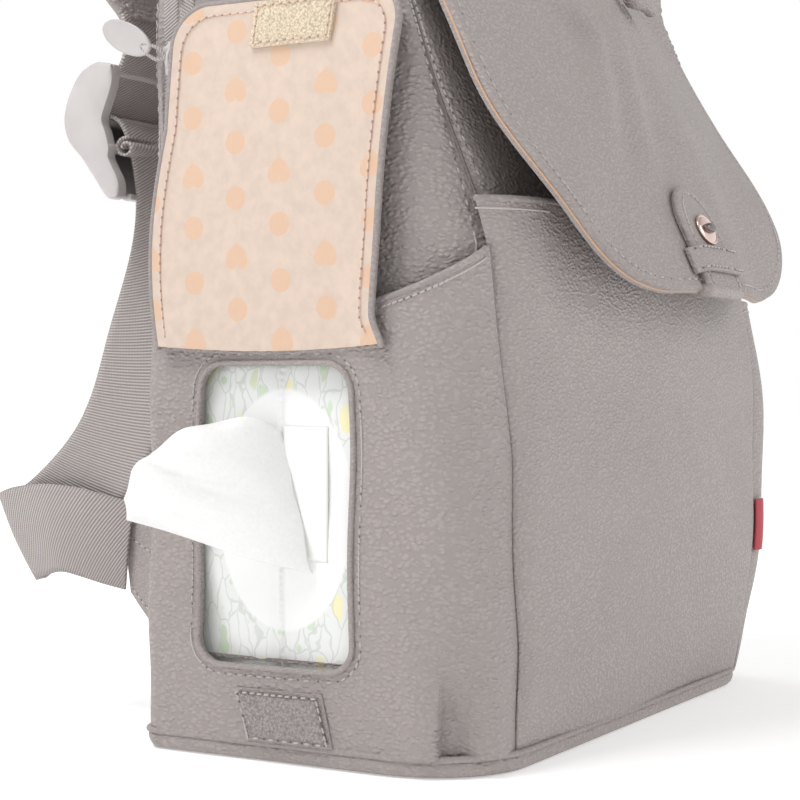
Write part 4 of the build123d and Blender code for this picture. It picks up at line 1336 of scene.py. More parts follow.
# ---- main flap ----
def flap_path():
    """Side view of the flap: back seam, over the zip, round the brow and down its slope."""
    tip_y, tip_z = FLAP_TIP.y, FLAP_TIP.z
    return smooth_path(
        [(BACK_Y, BODY_TOP + 0.0030), (0.045, BODY_TOP + 0.0065), (0.0, BODY_TOP + 0.0075),
         (-0.030, BODY_TOP + 0.0035), (-0.0475, BODY_TOP - 0.016), (-0.064, BODY_TOP - 0.052),
         (-0.088, BODY_TOP - 0.105), (tip_y + 0.003, tip_z + 0.003)], 400)


FLAP_LINE = flap_path()
FLAP_LENGTH = length_of(FLAP_LINE)
FLAP_ROUND = 0.094
CLOSURE_X = (low("closure_tab").x + high("closure_tab").x) / 2 - 0.006


def flap_reach(x, inset=0.0):
    """How far down the flap reaches at x: full in the middle, arcs at the corners."""
    half, r = FLAP_HALF - inset, FLAP_ROUND - inset
    over = np.clip(np.abs(x) - (half - r), 0, r)
    return FLAP_LENGTH - inset - r + np.sqrt(np.maximum(r**2 - over**2, 0))


def flap_point(x, d, out=0.0):
    """Point on the flap's outer face at x across and d down from the back seam."""
    x, d = np.broadcast_arrays(np.asarray(x, float), np.asarray(d, float))
    run = np.linspace(0, FLAP_LENGTH, len(FLAP_LINE))
    y = np.interp(d, run, FLAP_LINE[:, 0])
    z = np.interp(d, run, FLAP_LINE[:, 1])
    tangent = unit(np.gradient(FLAP_LINE, axis=0))
    ty, tz = np.interp(d, run, tangent[:, 0]), np.interp(d, run, tangent[:, 1])
    ny, nz = tz, -ty
    a = x / FLAP_HALF
    h = ramp(0.10, FLAP_LENGTH, d)
    crown = 0.0045 * (1 - a**2) * h - 0.004 * np.abs(a) ** 4 * ramp(0.05, 0.14, d) * (1 - h)
    fold_a = 0.0046 * np.exp(
        -(((a + 0.30 + 0.55 * (h - 0.55)) / 0.10) ** 2)
    ) * np.sin(np.pi * np.clip(h * 1.15, 0, 1))
    fold_b = 0.0034 * np.exp(
        -(((a + 0.05 + 0.45 * (h - 0.55)) / 0.09) ** 2)
    ) * np.sin(np.pi * np.clip(h * 1.1, 0, 1))
    fold_c = 0.0026 * np.exp(-(((a - 0.38 + 0.15 * h) / 0.12) ** 2)) * h
    ripple = 0.0012 * np.sin(7 * a + 9 * h) * h
    droop = 0.012 * ramp(0.1, 1.0, a) * ramp(0.035, 0.10, d) * (1 - ramp(0.42, 0.92, d / FLAP_LENGTH))
    lip = 0.004 * ramp(FLAP_LENGTH - 0.04, FLAP_LENGTH, d) * (1 - 0.5 * np.cos(a * 5))
    total = out + crown + fold_a + fold_b + fold_c + ripple - lip * 0.5 - droop
    return np.stack([x, y + ny * total, z + nz * total], axis=-1)


def flap_normal(x, d):
    """Outward normal of the flap."""
    n = surface_normal(flap_point, x, d, 5e-4)
    return n * np.where(n[..., 2:3] < 0, -1.0, 1.0)


def flap_grid(inset, out, cols=130, rows=130):
    """The flap's outline filled with a grid: columns across, rows down to each column's own reach."""
    half, r = FLAP_HALF - inset, FLAP_ROUND - inset
    arc = np.sin(np.linspace(0, np.pi / 2, 30))
    right = half - r + r * arc
    xs = np.concatenate([-right[::-1], np.linspace(-(half - r), half - r, cols - 58)[1:-1], right])
    v = np.linspace(0, 1, rows)[:, None]
    return flap_point(xs[None], v * flap_reach(xs[None], inset), out)


def build_main_flap():
    """Main flap: outer leather, peach lining showing at the edge, inner facing, and a stitch line."""
    face = flap_grid(0.0, 0.0)
    sign = sheet_sign(face, (0, 0.05, 0.15))
    hide = slab("main_flap_hide", face, 0.0022, material("leather_mid"), sign=sign, round_edge=0.0008)
    under = flap_grid(-0.0002, -0.0023)
    lining = slab("main_flap_peach_lining", under, 0.0008, material("cloth"), sign=sign, round_edge=0.0003)
    facing = slab(
        "main_flap_inner_facing", flap_grid(0.0, -0.0032), 0.0014, material("leather_fine"), sign=sign,
        round_edge=0.0004,
    )
    xs, reach = flap_edge(0.0042)
    path = flap_point(xs, reach)
    row = stitches("main_flap_stitches", path, flap_normal(xs, reach))
    for piece in (hide, lining, facing, row):
        on_main_flap(piece)
    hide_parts("main_flap_leather")
    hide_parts("main_flap_lining")


def flap_edge(inset, count=260):
    """(x, d) along the flap's outline, left side down, round the tip and up the right."""
    half, r = FLAP_HALF - inset, FLAP_ROUND - inset
    a = np.linspace(0, np.pi / 2, 40)
    left_x = np.full(50, -half)
    left_d = np.linspace(0.01, FLAP_LENGTH - inset - r, 50)
    arc_x = -(half - r) - r * np.cos(a)
    arc_d = FLAP_LENGTH - inset - r + r * np.sin(a)
    x = np.concatenate([left_x, arc_x, -arc_x[::-1], -left_x])
    d = np.concatenate([left_d, arc_d, arc_d[::-1], left_d[::-1]])
    both = even(np.stack([x, d], axis=1), count)
    return both[:, 0], both[:, 1]


def on_main_flap(piece):
    """A flap piece, sewn to the bag at the back seam: its transform baked into its mesh."""
    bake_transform(piece)


def flap_patch(
    name, x0, x1, d0, d1, out, thickness, mat, round_top=0.0, shape=None, rows=30, cols=24, edge=0.0004
):
    """A sheet lying on the flap between two widths and two distances, its top end optionally a half round."""
    u, v = np.meshgrid(np.linspace(-1, 1, cols), np.linspace(0, 1, rows))
    half = (x1 - x0) / 2
    grow = np.ones_like(v)
    if round_top:
        t = np.clip((v * (d1 - d0)) / round_top, 0, 1)
        grow = np.sqrt(np.maximum(1 - (1 - t) ** 2, 0.0004))
    x = (x0 + x1) / 2 + u * half * grow
    d = d0 + v * (d1 - d0)
    lift = out if shape is None else out + shape(u, v)
    face = flap_point(x, d, lift)
    return slab(name, face, thickness, mat, sign=sheet_sign(face, (0, 0.05, 0.15)), round_edge=edge)


def build_closure():
    """Closure on the flap's tip: rounded tab, keeper band, oval plate and turn button."""
    end = FLAP_LENGTH
    tab_d0 = end - 0.047
    tab = flap_patch(
        "closure_tab_leather", CLOSURE_X - 0.0195, CLOSURE_X + 0.0195, tab_d0, end, 0.0034, 0.003,
        material("leather_fine"), round_top=0.0195, rows=40,
    )
    a = np.linspace(0, np.pi, 40)
    edge_x = np.concatenate([[-0.0193] * 12, -0.0193 * np.cos(a), [0.0193] * 12])
    edge_d = np.concatenate(
        [
            np.linspace(end - 0.001, tab_d0 + 0.0195, 12), tab_d0 + 0.0195 - 0.0193 * np.sin(a),
            np.linspace(tab_d0 + 0.0195, end - 0.001, 12),
        ]
    )
    inner_x, inner_d = CLOSURE_X + edge_x * 0.84, edge_d + 0.003 * (edge_d < tab_d0 + 0.02)
    edge_x = edge_x + CLOSURE_X
    row = stitches(
        "closure_tab_stitches", flap_point(inner_x, inner_d, 0.0034), flap_normal(inner_x, inner_d),
    )
    rolled = tube(
        "closure_tab_edge", flap_point(edge_x, edge_d, 0.0022), 0.0012, material("leather_edge"), 8,
        ref=(0, 0.5, -0.8),
    )
    wrap = tube_wrap("closure_tab_turned_end", end)
    keeper = flap_patch(
        "closure_keeper_band", CLOSURE_X - 0.0255, CLOSURE_X + 0.0255, end - 0.0175, end - 0.006, 0.0062,
        0.0026, material("leather_fine"), shape=lambda u, v: -0.0034 * ramp(0.72, 1.0, np.abs(u)), rows=14,
        cols=40, edge=0.0007,
    )
    rows = [row]
    for k, at in enumerate((end - 0.0162, end - 0.0073)):
        xs = np.linspace(-0.0225, 0.0225, 60)
        lift = 0.0064 - 0.0034 * ramp(0.72, 1.0, np.abs(xs) / 0.0255)
        xs = xs + CLOSURE_X
        rows.append(
            stitches(
                f"closure_keeper_stitches_{k}", flap_point(xs, np.full(60, at), lift),
                flap_normal(xs, np.full(60, at)),
            )
        )
    for piece in [tab, rolled, wrap, keeper] + rows:
        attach(piece, "main_flap")
    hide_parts("closure_tab")
    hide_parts("closure_keeper")
    centre_d = end - 0.0262
    plate = oval_dome("closure_oval_plate", centre_d, 0.0088, 0.0064, 0.0038, 0.0016, material("rose"))
    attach(plate, "main_flap")
    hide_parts("closure_plate")
    groove = oval_ring("closure_plate_rim", centre_d, 0.0088, 0.0064, 0.0044, 0.0006, material("rose"))
    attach(groove, "main_flap")
    button = oval_dome("closure_button", centre_d, 0.0058, 0.0021, 0.0056, 0.0022, material("dark"))
    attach(button, "turn_button")
    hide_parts("closure_turn_button")


def tube_wrap(name, end):
    """The tab's end turned round the flap's lower edge."""
    xs = CLOSURE_X + np.linspace(-0.0185, 0.0185, 30)
    path = flap_point(xs, np.full(30, end), -0.0004)
    return tube(name, path, 0.0042, material("leather_fine"), 16, flat=0.75)


def oval_dome(name, d, half_x, half_d, out, height, mat):
    """A domed oval button on the flap: rings shrinking to the middle, closed by a flat back."""
    a = np.linspace(0, 2 * np.pi, 48, endpoint=False)[None]
    r = np.array([0.0, 0.75, 1.0, 1.0, 0.93, 0.8, 0.55, 0.3, 0.001])[:, None]
    h = np.array([-0.3, -0.3, -0.1, 0.3, 0.62, 0.8, 0.94, 0.99, 1.0])[:, None]
    x = half_x * r * np.cos(a)
    dd = d + half_d * r * np.sin(a)
    base = flap_point(np.full(1, CLOSURE_X), np.array([d]))[0]
    n = flap_normal(np.full(1, CLOSURE_X), np.array([d]))[0]
    along = unit(flap_point(np.full(1, CLOSURE_X), np.array([d + 0.002]))[0] - base)
    p = (
        base + x[..., None] * np.array([1.0, 0, 0]) + (dd - d)[..., None] * along
        + (out + height * h)[..., None] * n
    )
    return closed_shell(name, p, mat)


def oval_ring(name, d, half_x, half_d, out, radius, mat):
    """A raised rim round an oval on the flap."""
    a = np.linspace(0, 2 * np.pi, 60, endpoint=False)
    base = flap_point(np.full(1, CLOSURE_X), np.array([d]))[0]
    n = flap_normal(np.full(1, CLOSURE_X), np.array([d]))[0]
    along = unit(flap_point(np.full(1, CLOSURE_X), np.array([d + 0.002]))[0] - base)
    path = (
        base + half_x * np.cos(a)[:, None] * np.array([1.0, 0, 0]) + half_d * np.sin(a)[:, None] * along
        + out * n
    )
    return tube(name, path, radius, mat, 8, closed=True, ref=tuple(n))


def build_toggles():
    """Two short rolled leather ends standing on the flap, each with its seam and an open roll whose hollow is
    painted shade.
    """
    for name, side in (("left", -1), ("right", 1)):
        x = side * 0.050
        d = 0.140
        base = flap_point(np.array([x]), np.array([d]))[0]
        n = flap_normal(np.array([x]), np.array([d]))[0]
        direction = unit(np.array([0.93, -0.10, -0.12]))
        t = np.linspace(-0.5, 0.5, 24)[:, None]
        path = base + n * 0.0078 + direction * t * 0.019 + n * 0.0012 * np.sin(np.pi * (t + 0.5))
        radius = 0.0042 + 0.0012 * ramp(0.5, -0.5, t[:, 0])
        roll = tube(f"{name}_toggle_roll", path, radius, material("leather_fine"), 20, flat=0.8, ref=tuple(n))
        spiral_a = np.linspace(0, 4 * np.pi, 60)
        side_v = unit(np.cross(direction, n))
        r = 0.0008 + 0.0029 * spiral_a / spiral_a[-1]
        spiral = (
            path[0] - direction * 0.0022 + np.cos(spiral_a)[:, None] * r[:, None] * side_v
            + np.sin(spiral_a)[:, None] * r[:, None] * 0.8 * n
        )
        # a spiral of darker leather at the roll's open end: painted shade in its hollow
        end = tube(
            f"{name}_toggle_open_end_painted_shade", spiral, 0.0006, material("leather_painted_shade"), 6, ref=tuple(direction),
        )
        foot_a = np.linspace(0, 2 * np.pi, 30, endpoint=False)
        foot = flap_point(x + 0.006 * np.cos(foot_a), d + 0.0045 * np.sin(foot_a), 0.0)
        seam = stitches(f"{name}_toggle_foot_stitches", np.vstack([foot, foot[:1]]), n)
        for piece in (roll, end, seam):
            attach(piece, "main_flap")
        if side < 0:
            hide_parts("flap_toggles")


# ---- zip ----
def zip_line(count=260):
    """Path of the zip: up the wipes side near the back, round the shoulder and across the top."""
    y = ZIP_Y
    side_x = SIDE_X + 0.0004
    r = 0.010
    top = BODY_TOP + 0.0014
    a = np.linspace(np.pi, np.pi / 2, 14)
    shoulder = np.stack([-side_x + r + r * np.cos(a), np.full(14, y), top - r + r * np.sin(a)], axis=1)
    lift = np.array([[-side_x, y, high("zip_end_stop").z - 0.001]])
    path = np.concatenate(
        [lift, shoulder, shoulder[::-1] * np.array([-1, 1, 1]), lift * np.array([-1, 1, 1])]
    )
    return even(path, count)


def zip_normals(path):
    """Outward direction along the zip, square to it in the cross plane."""
    t = unit(np.gradient(path, axis=0))
    n = np.cross(np.array([0, 1.0, 0]), t)
    return unit(n * np.where((n * (path - np.array([0, ZIP_Y, 0.2]))).sum(axis=1, keepdims=True) < 0, -1, 1))


def build_zip():
    """Zip: two tapes, two rows of coil teeth, slider, loop and moulded puller."""
    path = zip_line()
    n = zip_normals(path)
    for label, side in (("front", -1), ("back", 1)):
        w = np.linspace(0.0006, 0.0075, 8)
        face = path[:, None] + side * w[None, :, None] * np.array([0, 1.0, 0]) + n[:, None] * 0.0004
        tape = slab(
            f"zip_{label}_tape", face, 0.0008, material("twill"), sign=sheet_sign(face, (0, ZIP_Y, 0.2)),
        )
        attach(tape, "bag")
        if side < 0:
            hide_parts("zip_tapes")
    total = length_of(path)
    count = int(total / 0.0016)
    both = even(np.concatenate([path, n], axis=1), count)
    pts, nn = both[:, :3], unit(both[:, 3:])
    for label, side, shift in (("front", -1, 0), ("back", 1, 1)):
        places = pts[shift::2] + side * np.array([0, 0.0009, 0]) + nn[shift::2] * 0.0014
        teeth = capsules(
            f"zip_{label}_teeth", places, np.broadcast_to([0, 1.0, 0.12], places.shape), nn[shift::2],
            0.0030, 0.0007, material("coil"),
        )
        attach(teeth, "bag")
        if side < 0:
            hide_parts("zip_coil")
    box_low, box_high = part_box("zip_slider")
    mid = np.array((box_low + box_high) / 2)
    v = np.linspace(-1, 1, 22)
    nose = mid + np.stack([0 * v, 0 * v, v * 0.0066], axis=1)
    width = 0.0036 + 0.0014 * ramp(-0.6, 0.9, v) - 0.0022 * ramp(0.75, 1, np.abs(v))
    slider = tube("zip_slider_body", nose, width, material("plastic"), 18, flat=1.0, ref=(1, 0, 0))
    squeeze(slider, mid[0], 0.42)
    bridge_path = (
        mid
        + np.array([(-0.0010, 0, -0.0045), (-0.0030, 0, -0.002), (-0.0032, 0, 0.002), (-0.0010, 0, 0.0045)])
    )
    bridge = tube(
        "zip_slider_bridge", smooth_path(bridge_path, 24), 0.0009, material("plastic"), 8, ref=(0, 1, 0),
    )
    for piece in (slider, bridge):
        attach(piece, "zip_slider")
    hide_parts("zip_slider")
    build_puller(mid)


def squeeze(obj, x, keep):
    """Flattens a mesh towards a plane of constant x."""
    n = len(obj.data.vertices)
    co = np.empty(n * 3)
    obj.data.vertices.foreach_get("co", co)
    co = co.reshape(-1, 3)
    co[:, 0] = x + (co[:, 0] - x) * keep
    obj.data.vertices.foreach_set("co", co.ravel())


def build_puller(mid):
    """Moulded oval puller with a raised rim, hung from the slider by a webbing loop."""
    start, end = low("zip_puller"), high("zip_puller")
    centre = np.array([(start.x + end.x) / 2, (start.y + end.y) / 2, (start.z + end.z) / 2])
    turn = math.radians(27)
    along = np.array([0, math.cos(turn), math.sin(turn)])
    across = np.array([0, -math.sin(turn), math.cos(turn)])
    pivot = np.array([centre[0], mid[1], mid[2]])
    centre = pivot + along * (centre[1] - pivot[1])
    a = np.linspace(0, 2 * np.pi, 60, endpoint=False)[None]
    r = np.array([0.0, 0.7, 0.95, 1.0, 1.0, 0.95, 0.86, 0.5, 0.001])[:, None]
    h = np.array([-0.5, -0.5, -0.42, -0.2, 0.25, 0.45, 0.32, 0.22, 0.2])[:, None]
    p = (
        centre + (0.0132 * r * np.cos(a))[..., None] * along + (0.0060 * r * np.sin(a))[..., None] * across
        - (0.0022 * h + 0 * a)[..., None] * np.array([1.0, 0, 0])
    )
    puller = closed_shell("zip_puller_grip", p, material("plastic"))
    path = smooth_path(
        [
            pivot + along * 0.001, pivot + along * 0.006 + across * 0.0022,
            pivot + along * 0.0135 + across * 0.001, pivot + along * 0.014 - across * 0.001,
            pivot + along * 0.006 - across * 0.0022, pivot + along * 0.001,
        ],
        50,
    )
    loop = tube("zip_puller_cord", path, 0.0008, material("twill"), 8, ref=(1, 0, 0))
    for piece in (puller, loop):
        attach(piece, "zip_puller")
    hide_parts("zip_puller")
    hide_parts("puller_loop")


# ---- straps ----
def ribbon(name, left, right, thickness, mat, centre, rows=90, bow=0.0):
    """Flat tape between two edge paths, bowed a little across."""
    a, b = smooth_path(left, rows), smooth_path(right, rows)
    u = np.linspace(0, 1, 14)[None, :, None]
    face = a[:, None] * (1 - u) + b[:, None] * u
    n = grid_normals(face)
    face = face + n * bow * np.sin(np.pi * u)
    width = np.linalg.norm(a - b, axis=1).mean()
    run = np.linspace(0, length_of((a + b) / 2), rows)
    uv = np.stack(np.meshgrid(np.linspace(0, width, 14), run), axis=-1)
    return slab(name, face, thickness, mat, sign=sheet_sign(face, centre), uv=uv)


def build_strap(name, side):
    """One shoulder strap: padded top, webbing into the ladder lock, long webbing folded back to the wing."""
    body = f"{name}_strap"
    pad_low, pad_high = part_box(f"{name}_strap_pad")
    cx = side * STRAP_X
    thick = 0.0095
    near, far = pad_low.y + thick / 2, pad_high.y - thick / 2
    top = pad_high.z - thick / 2
    r = (far - near) / 2
    a = np.linspace(np.pi, 0, 24)
    arc = np.stack([near + r + r * np.cos(a), top - r + r * np.sin(a)], axis=1)
    line = np.concatenate(
        [
            [(near, pad_low.z + 0.042)], arc,
            smooth_path(
                [
                    arc[-1] + (0, -0.001), (far - 0.001, pad_low.z + 0.045),
                    (far - 0.006, pad_low.z + 0.022), (0.1060, pad_low.z + 0.001),
                ],
                30,
            ),
        ]
    )
    line = even(line, 80)
    t = np.linspace(0, 1, 80)
    half = 0.0245 - 0.007 * ramp(0.86, 1.0, t) - 0.004 * ramp(0.12, 0.0, t)
    tangent = unit(np.gradient(line, axis=0))
    nyz = np.stack([tangent[:, 1], -tangent[:, 0]], axis=1)
    ang = np.linspace(0, 2 * np.pi, 40, endpoint=False)
    ca, sa = np.cos(ang), np.sin(ang)
    wx = np.sign(ca) * np.abs(ca) ** 0.55
    wn = np.sign(sa) * np.abs(sa) ** 0.9
    puff = thick / 2 * (1 - 0.25 * ramp(0.9, 1.0, t)) * (1 - 0.05 * np.sin(t * 40))
    x = cx + half[:, None] * wx[None]
    off = puff[:, None] * wn[None]
    p = np.stack([x, line[:, 0:1] + nyz[:, 0:1] * off, line[:, 1:2] + nyz[:, 1:2] * off], axis=-1)
    pad_uv = np.stack(np.meshgrid(np.linspace(0, 0.1, 40), t * 0.2), axis=-1)
    pad = closed_shell(f"{name}_shoulder_pad", p, material("leather"), pad_uv)
    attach(pad, body)
    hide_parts(f"{name}_strap_pad")
    for k, edge in enumerate((-1, 1)):
        ex = cx + edge * (half * 0.80)
        lift = puff * 0.86
        path = np.stack([ex, line[:, 0] - nyz[:, 0] * lift * -1, line[:, 1] + nyz[:, 1] * lift], axis=1)
        nrm = np.stack([0 * ex, nyz[:, 0], nyz[:, 1]], axis=1)
        row = stitches(f"{name}_pad_stitches_{k}", path, nrm, lift=0.0004)
        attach(row, body)
    web = WEB_HALF
    build_lock(name, cx, body)
    upper_yz = [
        (0.1060, pad_low.z + 0.004), (0.1045, 0.2900), (0.1085, 0.2800), (0.1130, 0.2700), (0.1165, 0.2630),
    ]
    upper = ribbon(
        f"{name}_upper_web", [(cx - web, y, z) for y, z in upper_yz],
        [(cx + web, y, z) for y, z in upper_yz], 0.0018, material("twill"), (0, 0, 0.25), 40,
    )
    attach(upper, body)
    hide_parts(f"{name}_upper_webbing")

    def out(v):
        """Place across the bag, mirrored from one strap to the other."""
        return cx + side * v

    left = [
        (out(0.0180), 0.1180, 0.2600), (out(0.0180), 0.1125, 0.2622), (out(0.0175), 0.1060, 0.2575),
        (out(0.0150), 0.1030, 0.2450), (out(0.0100), 0.1045, 0.2250), (out(0.0070), 0.1110, 0.2020),
        (out(0.006), 0.1226, 0.1719), (out(0.005), 0.1346, 0.1409), (out(0.005), 0.1480, 0.1215),
        (out(0.004), 0.1700, 0.1035), (out(0.004), 0.1840, 0.0975),
    ]
    right = [
        (out(-0.0190), 0.1180, 0.2590), (out(-0.0190), 0.1110, 0.2600), (out(-0.0185), 0.1010, 0.2540),
        (out(-0.0170), 0.0930, 0.2380), (out(-0.0100), 0.0885, 0.2120), (out(-0.0040), 0.0885, 0.1860),
        (out(0.000), 0.0885, 0.1600), (out(0.002), 0.0970, 0.1300), (out(0.003), 0.1130, 0.1035),
        (out(0.003), 0.1370, 0.0780), (out(0.003), 0.1630, 0.0600),
    ]
    # the far edge stays behind the back panel
    right = [(x, max(y, 0.0885), z) for x, y, z in right]
    web_mat = material("twill")
    long_web = ribbon(f"{name}_long_web", left, right, 0.0016, web_mat, (0, 0, 0.2), 150, 0.0012)
    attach(long_web, body)
    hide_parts(f"{name}_lower_webbing")
    ra = [
        (out(0.004), 0.1840, 0.0975), (out(0.0078), 0.1855, 0.0975), (out(0.0095), 0.1745, 0.1010),
        (out(0.0108), 0.1560, 0.1030), (out(0.0095), 0.1380, 0.1018), (out(0.0065), 0.1235, 0.0985),
        (out(0.003), 0.1120, 0.0960),
    ]
    rb = [
        (out(0.003), 0.1630, 0.0600), (out(0.0070), 0.1640, 0.0595), (out(0.0090), 0.1570, 0.0620),
        (out(0.0110), 0.1460, 0.0645), (out(0.0095), 0.1365, 0.0628), (out(0.0065), 0.1270, 0.0600),
        (out(0.003), 0.1170, 0.0575),
    ]
    back_web = ribbon(f"{name}_return_web", ra, rb, 0.0016, web_mat, (0, 0.14, 0.08), 80, 0.0015)
    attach(back_web, body)
    roll_a = np.linspace(0, 2.6 * np.pi, 60)
    rr = 0.0012 + 0.0036 * roll_a / roll_a[-1]
    c_y, c_z = 0.1040, 0.2475
    coil = np.stack([np.full(60, cx), c_y + rr * np.cos(roll_a), c_z + rr * np.sin(roll_a) * 0.8], axis=1)
    la, lb = coil.copy(), coil.copy()
    la[:, 0] -= web
    lb[:, 0] += web
    u = np.linspace(0, 1, 12)[None, :, None]
    face = la[:, None] * (1 - u) + lb[:, None] * u
    tail = slab(f"{name}_rolled_web_end", face, 0.0011, web_mat, sign=1.0)
    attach(tail, body)
    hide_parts(f"{name}_webbing_tail")


def build_lock(name, cx, body):
    """Ladder lock, a crescent in side view with a lift tip: two cheeks, an outer skin and three bars."""
    plastic = material("plastic")
    half = LOCK_HALF
    outer = smooth_path(
        [
            (0.1070, 0.2822), (0.1151, 0.2836), (0.1240, 0.2795), (0.1300, 0.2706), (0.1328, 0.2605),
            (0.1302, 0.2512), (0.1235, 0.2440), (0.1178, 0.2368), (0.1095, 0.2262), (0.1045, 0.2258),
        ],
        60,
    )
    inner = smooth_path(
        [
            (0.1066, 0.2800), (0.1070, 0.2750), (0.1086, 0.2700), (0.1112, 0.2640), (0.1126, 0.2590),
            (0.1105, 0.2535), (0.1088, 0.2470), (0.1090, 0.2428), (0.1040, 0.2335), (0.1034, 0.2268),
        ],
        60,
    )
    pieces = []
    for k, (x0, x1) in enumerate(((-half, -half + 0.0052), (half - 0.0052, half))):
        w = np.linspace(0, 1, 9)[None, :, None]
        yz = outer[:, None] * (1 - w) + inner[:, None] * w
        dome = 0.0010 * np.sin(np.pi * w[..., 0]) ** 0.6 * np.ones((60, 1))
        face = np.stack([cx + x1 + dome, yz[..., 0], yz[..., 1]], axis=-1)
        back = np.stack([cx + x0 - dome, yz[..., 0], yz[..., 1]], axis=-1)
        loop = np.concatenate([face, back[:, ::-1]], axis=1)
        cheek = closed_shell(f"{name}_lock_cheek_{k}", loop, plastic)
        soften(cheek, 0.0006, 40)
        pieces.append(cheek)
    u = np.linspace(-1, 1, 26)[None]
    narrow = 1 - 0.35 * ramp(0.70, 1.0, np.linspace(0, 1, 60))[:, None]
    top = np.stack(
        [cx + u * (half - 0.0010) * narrow, outer[:, :1] - 0.0008 * u**2 + 0 * u, outer[:, 1:] + 0 * u],
        axis=-1,
    )
    skin_rows = np.r_[0:16, 22:60]
    skin = slab(
        f"{name}_lock_skin", top[skin_rows], 0.0026, plastic,
        sign=sheet_sign(top[skin_rows], (cx, 0.09, 0.255)), round_edge=0.0007,
    )
    pieces.append(skin)
    bars = ((0.1090, 0.2795, 0.0024), (0.1165, 0.2600, 0.0027), (0.1110, 0.2475, 0.0024))
    for k, (y, z, r) in enumerate(bars):
        xs = np.linspace(-half + 0.001, half - 0.001, 20)
        path = np.stack([cx + xs, np.full(20, y), np.full(20, z)], axis=1)
        pieces.append(tube(f"{name}_lock_bar_{k}", path, r, plastic, 14, ref=(0, 1, 0)))
    for piece in pieces:
        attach(piece, body)
    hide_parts(f"{name}_ladder_lock")


def wing_point(x, side, u, v):
    """Point on a wing tab: u out from the seam, v up, its foot rising outwards in a shallow curve."""
    z_low = 0.0205 + 0.0355 * u**1.15
    z_high = 0.0840 + 0.0145 * u
    bulge = side * (0.004 * np.sin(np.pi * u) * (1 - v) - 0.006 * u)
    return np.stack([x + bulge, 0.0660 + 0.0505 * u + 0.006 * v * u, z_low + (z_high - z_low) * v], axis=-1)


def build_wings():
    """Leather wing tabs sewn into the foot of the back seams, and the strap anchors at the top."""
    for name, side in (("left", -1), ("right", 1)):
        x = side * (STRAP_X + 0.006)
        face = wing_point(x, side, *np.meshgrid(np.linspace(0, 1, 30), np.linspace(0, 1, 30)))
        wing = slab(
            f"{name}_wing_leather", face, 0.0026, material("leather_fine"),
            sign=sheet_sign(face, (0, 0.09, 0.06)), round_edge=0.0008,
        )
        lo = np.linspace(0.02, 0.98, 60)
        rows = []
        for k, v in enumerate((0.10, 0.62, 0.94)):
            path = wing_point(x, side, lo, np.full(60, v))
            rows.append(
                stitches(f"{name}_wing_stitches_{k}", path, np.array([side, 0, 0]))
            )
        for piece in [wing] + rows:
            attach(piece, "bag")
        if side < 0:
            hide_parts("wing_tabs")
        yz = ((BACK_Y - 0.002, 0.318), (BACK_Y + 0.006, 0.327), (0.0885, 0.333))
        a_low = [(side * STRAP_X - WEB_HALF, *at) for at in yz]
        a_high = [(side * STRAP_X + WEB_HALF, *at) for at in yz]
        anchor = ribbon(f"{name}_anchor_web", a_low, a_high, 0.0022, material("twill"), (0, 0, 0.3), 30)
        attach(anchor, "bag")
        if side < 0:
            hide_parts("strap_anchors")


